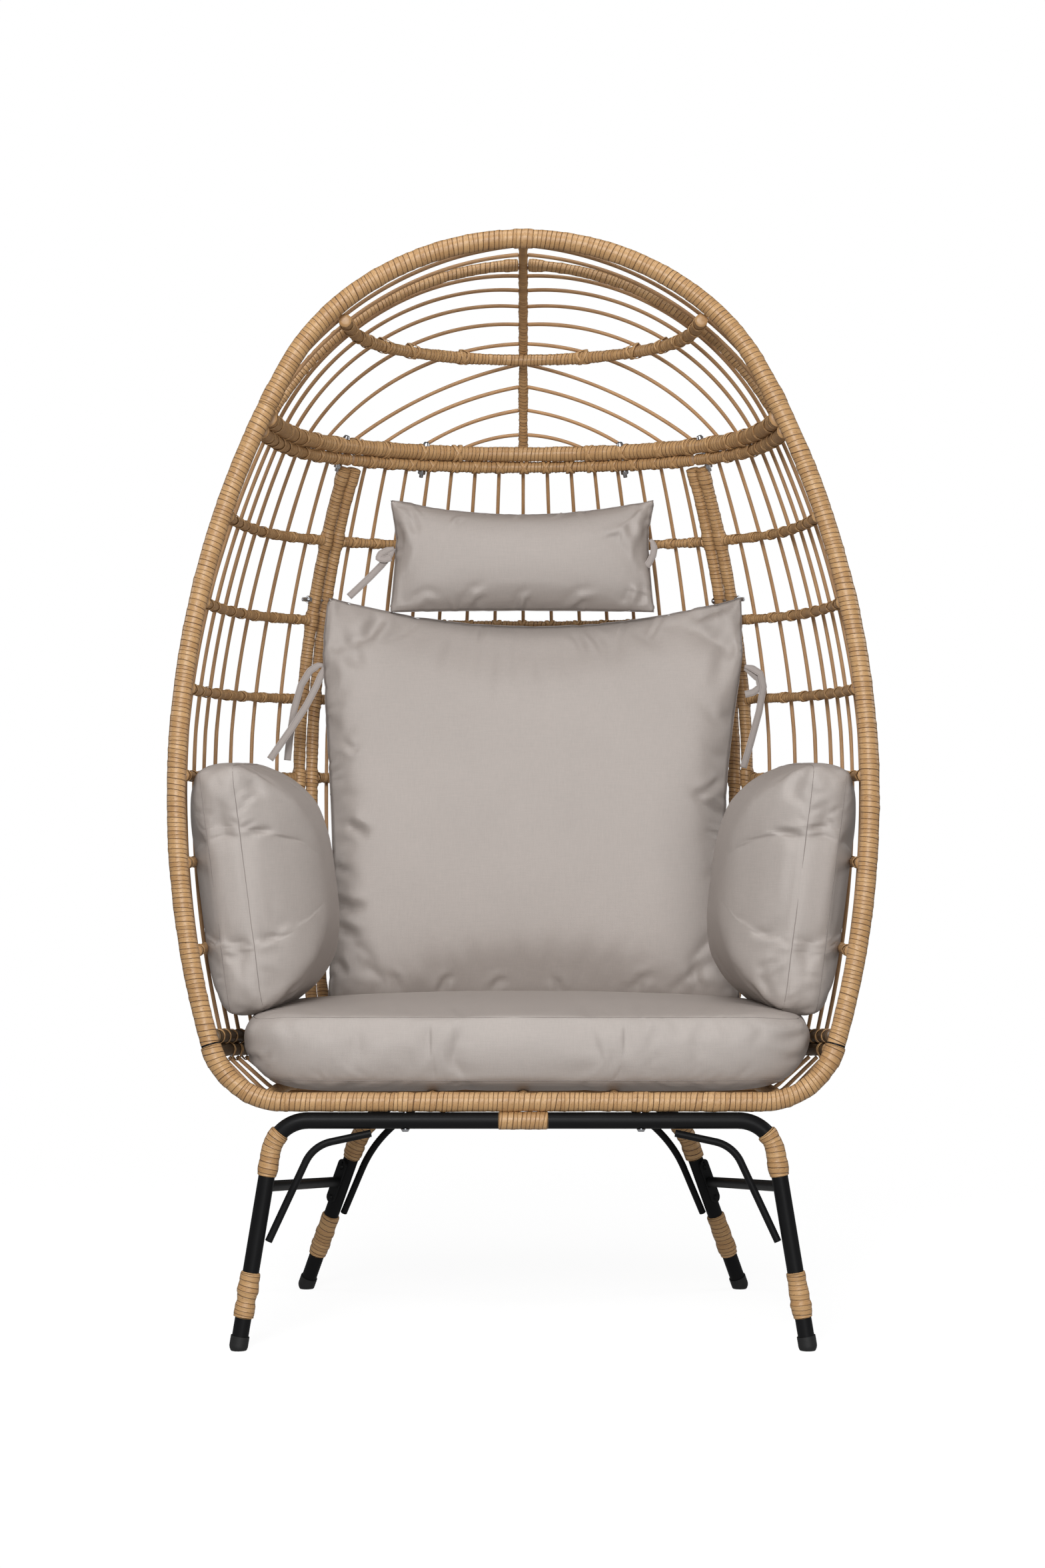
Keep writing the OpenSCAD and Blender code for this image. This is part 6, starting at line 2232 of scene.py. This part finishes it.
BACK_FOLDS = (
    Fold(((515, 902), (528, 950), (540, 1010)), 10, 4.5, 1),
    Fold(((570, 922), (556, 948), (548, 975)), 9, 4),
    Fold(((494, 960), (520, 985), (560, 1000)), 10, 3.5),
    Fold(((496, 1240), (520, 1236), (556, 1256)), 8, 8, -1),
    Fold(((500, 1300), (516, 1306), (530, 1304)), 6, 3),
    Fold(((500, 1352), (524, 1362), (556, 1362)), 8, 7, -1),
    Fold(((506, 1392), (520, 1396), (542, 1408)), 7, 5),
    Fold(((502, 1440), (512, 1450), (522, 1466)), 6, 5),
    Fold(((512, 1112), (530, 1124), (546, 1114)), 5, 2.5),
    Fold(((856, 948), (870, 964), (878, 985)), 6, 2.5),
    Fold(((880, 945), (898, 962), (912, 990)), 7, 3),
    Fold(((1086, 1226), (1058, 1205), (1030, 1176)), 7, 5, 1),
    Fold(((1080, 1170), (1060, 1186), (1036, 1196)), 6, 3),
    Fold(((1036, 928), (1070, 915), (1102, 903)), 9, 5),
    Fold(((1108, 950), (1085, 985), (1070, 1040)), 11, 3.5),
    Fold(((600, 1490), (592, 1470), (578, 1455)), 6, 4),
    Fold(((660, 1488), (668, 1470), (684, 1462)), 6, 3.5),
    Fold(((735, 1486), (748, 1472), (766, 1470)), 6, 3),
    Fold(((840, 1488), (835, 1474), (822, 1462)), 6, 3),
    Fold(((950, 1486), (962, 1470), (985, 1458)), 7, 4),
    Fold(((1050, 1484), (1042, 1462), (1046, 1440)), 7, 3.5),
)
PILLOW_FOLDS = (
    Fold(((600, 770), (612, 800), (604, 830)), 7, 3),
    Fold(((678, 786), (684, 778), (698, 774)), 4, 2.5),
    Fold(((700, 908), (712, 892), (735, 884)), 6, 3),
    Fold(((780, 912), (784, 896), (800, 888)), 5, 3.5),
    Fold(((620, 908), (640, 896), (660, 902)), 6, 2.5),
    Fold(((850, 910), (870, 895), (900, 892)), 6, 3),
    Fold(((945, 910), (954, 888), (952, 868)), 6, 3),
    Fold(((966, 764), (956, 785), (960, 815)), 7, 3),
)


# ---------- ties


@dataclass(frozen=True)
class Tape:
    """A flat cloth tape that hangs from a cushion's side edge.

    Args:
        name: Name of the piece.
        start: Where it leaves the seam, in the source's frame.
        steps: Its middle line from there.
        node: CAD node that it stands for, if any.
    """

    name: str
    start: Triple
    steps: tuple[Triple, ...]
    node: str | None = None

    def make(self, material: Material) -> None:
        """Makes the tape."""
        path = np.asarray(self.start, float) + np.asarray(self.steps, float) - MIDDLE
        for _ in range(3):
            path = np.vstack([path[:1], (path[:-1] + path[1:]) / 2, path[-1:]])
        track = Track(path)
        n = max(24, int(track.length / 2.5))
        s = np.linspace(0, track.length, n)
        p, t = track.at(s), track.heading(s)
        across = unit(np.cross(t, np.array([0.25, -1.0, 0.15])))
        out = np.cross(across, t)
        rim = [(-1, -0.3), (-1, 0.3), (-0.84, 1), (0, 0.7), (0.84, 1), (1, 0.3)]
        rim += [(1, -0.3), (0.84, -1), (0, -0.7), (-0.84, -1)]
        half = (S.tape_half_w * (0.55 + 0.45 * eased(s / 14)))[:, None]
        ring = np.stack([p + across * w * half + out * (h * S.tape_half_t) for w, h in rim], 1)
        quads, i, j = tube_quads(n - 1, len(rim))
        side = np.array([(w + 1) / 2 for w, _ in rim] + [0.0])
        skin = Skin()
        skin.add(ring, quads, np.stack([side[j], s[i] / 10], -1))
        mesh = skin.mesh(self.name)
        face_outwards(mesh, close=True)
        declare(centred_object(self.name, mesh), material, Body.FRAME, self.node)


BACK_LEFT, BACK_RIGHT = (-293, 502, 920), (325, 502, 919)
PILLOW_LEFT, PILLOW_RIGHT = (-191, 541, 1095), (188, 541, 1108)
TAPES = (
    Tape(
        "back_tie_left_strand",
        BACK_LEFT,
        ((0, 0, 0), (-10, -2, 6), (-29, -5, -12), (-39, -9, -41), (-47, -12, -80), (-52, -14, -139)),
        "back_tie_left",
    ),
    Tape(
        "back_tie_left_second",
        BACK_LEFT,
        ((1, -2, -2), (-3, -5, -15), (-15, -12, -44), (-30, -26, -73), (-52, -42, -103), (-74, -58, -138)),
    ),
    Tape(
        "back_tie_right_strand",
        BACK_RIGHT,
        ((0, 0, 0), (20, -3, -3), (31, -6, -14), (30, -10, -34), (15, -14, -90), (-3, -16, -149)),
        "back_tie_right",
    ),
    Tape(
        "back_tie_right_loop",
        BACK_RIGHT,
        ((0, 1, -3), (16, 2, -12), (33, -2, -25), (22, -6, -39), (0, -8, -41)),
    ),
    Tape(
        "pillow_tie_left_strand",
        PILLOW_LEFT,
        ((0, 0, 0), (-9, -3, -16), (-25, -6, -33), (-46, -9, -53), (-66, -12, -72)),
        "pillow_tie_left",
    ),
    Tape(
        "pillow_tie_left_loop",
        PILLOW_LEFT,
        ((0, 0, 0), (-13, -3, -2), (-31, -6, -12), (-24, -9, -22), (-4, -9, -14)),
    ),
    Tape(
        "pillow_tie_right_fold",
        PILLOW_RIGHT,
        ((0, 0, 0), (7, -3, -5), (8, -6, -18), (2, -8, -30), (-6, -9, -40)),
        "pillow_tie_right",
    ),
)


def main() -> None:
    """Builds the dressed scene."""
    logging.basicConfig(level=logging.INFO, format="%(name)s: %(message)s")
    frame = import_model()
    eye = Eye()
    eye.make()
    Studio().build()
    materials = Materials()
    plain = {
        Finish.STEEL.value: materials.steel,
        Finish.RUBBER.value: materials.rubber,
        Finish.ZINC.value: materials.zinc,
    }
    for part in frame["record"]["subparts"]:
        material = plain.get(part.get("material_slot"))
        if material is not None:
            dress(frame["nodes"][part["node"]], material)
    chair = Chair()
    dresser = FrameDresser(chair, materials)
    dresser.build()
    Bindings(dresser, materials.rattan).build()
    CushionMaker(frame, chair, eye, materials).build()
    for tape in TAPES:
        tape.make(materials.tape)


if __name__ == "__main__":
    main()
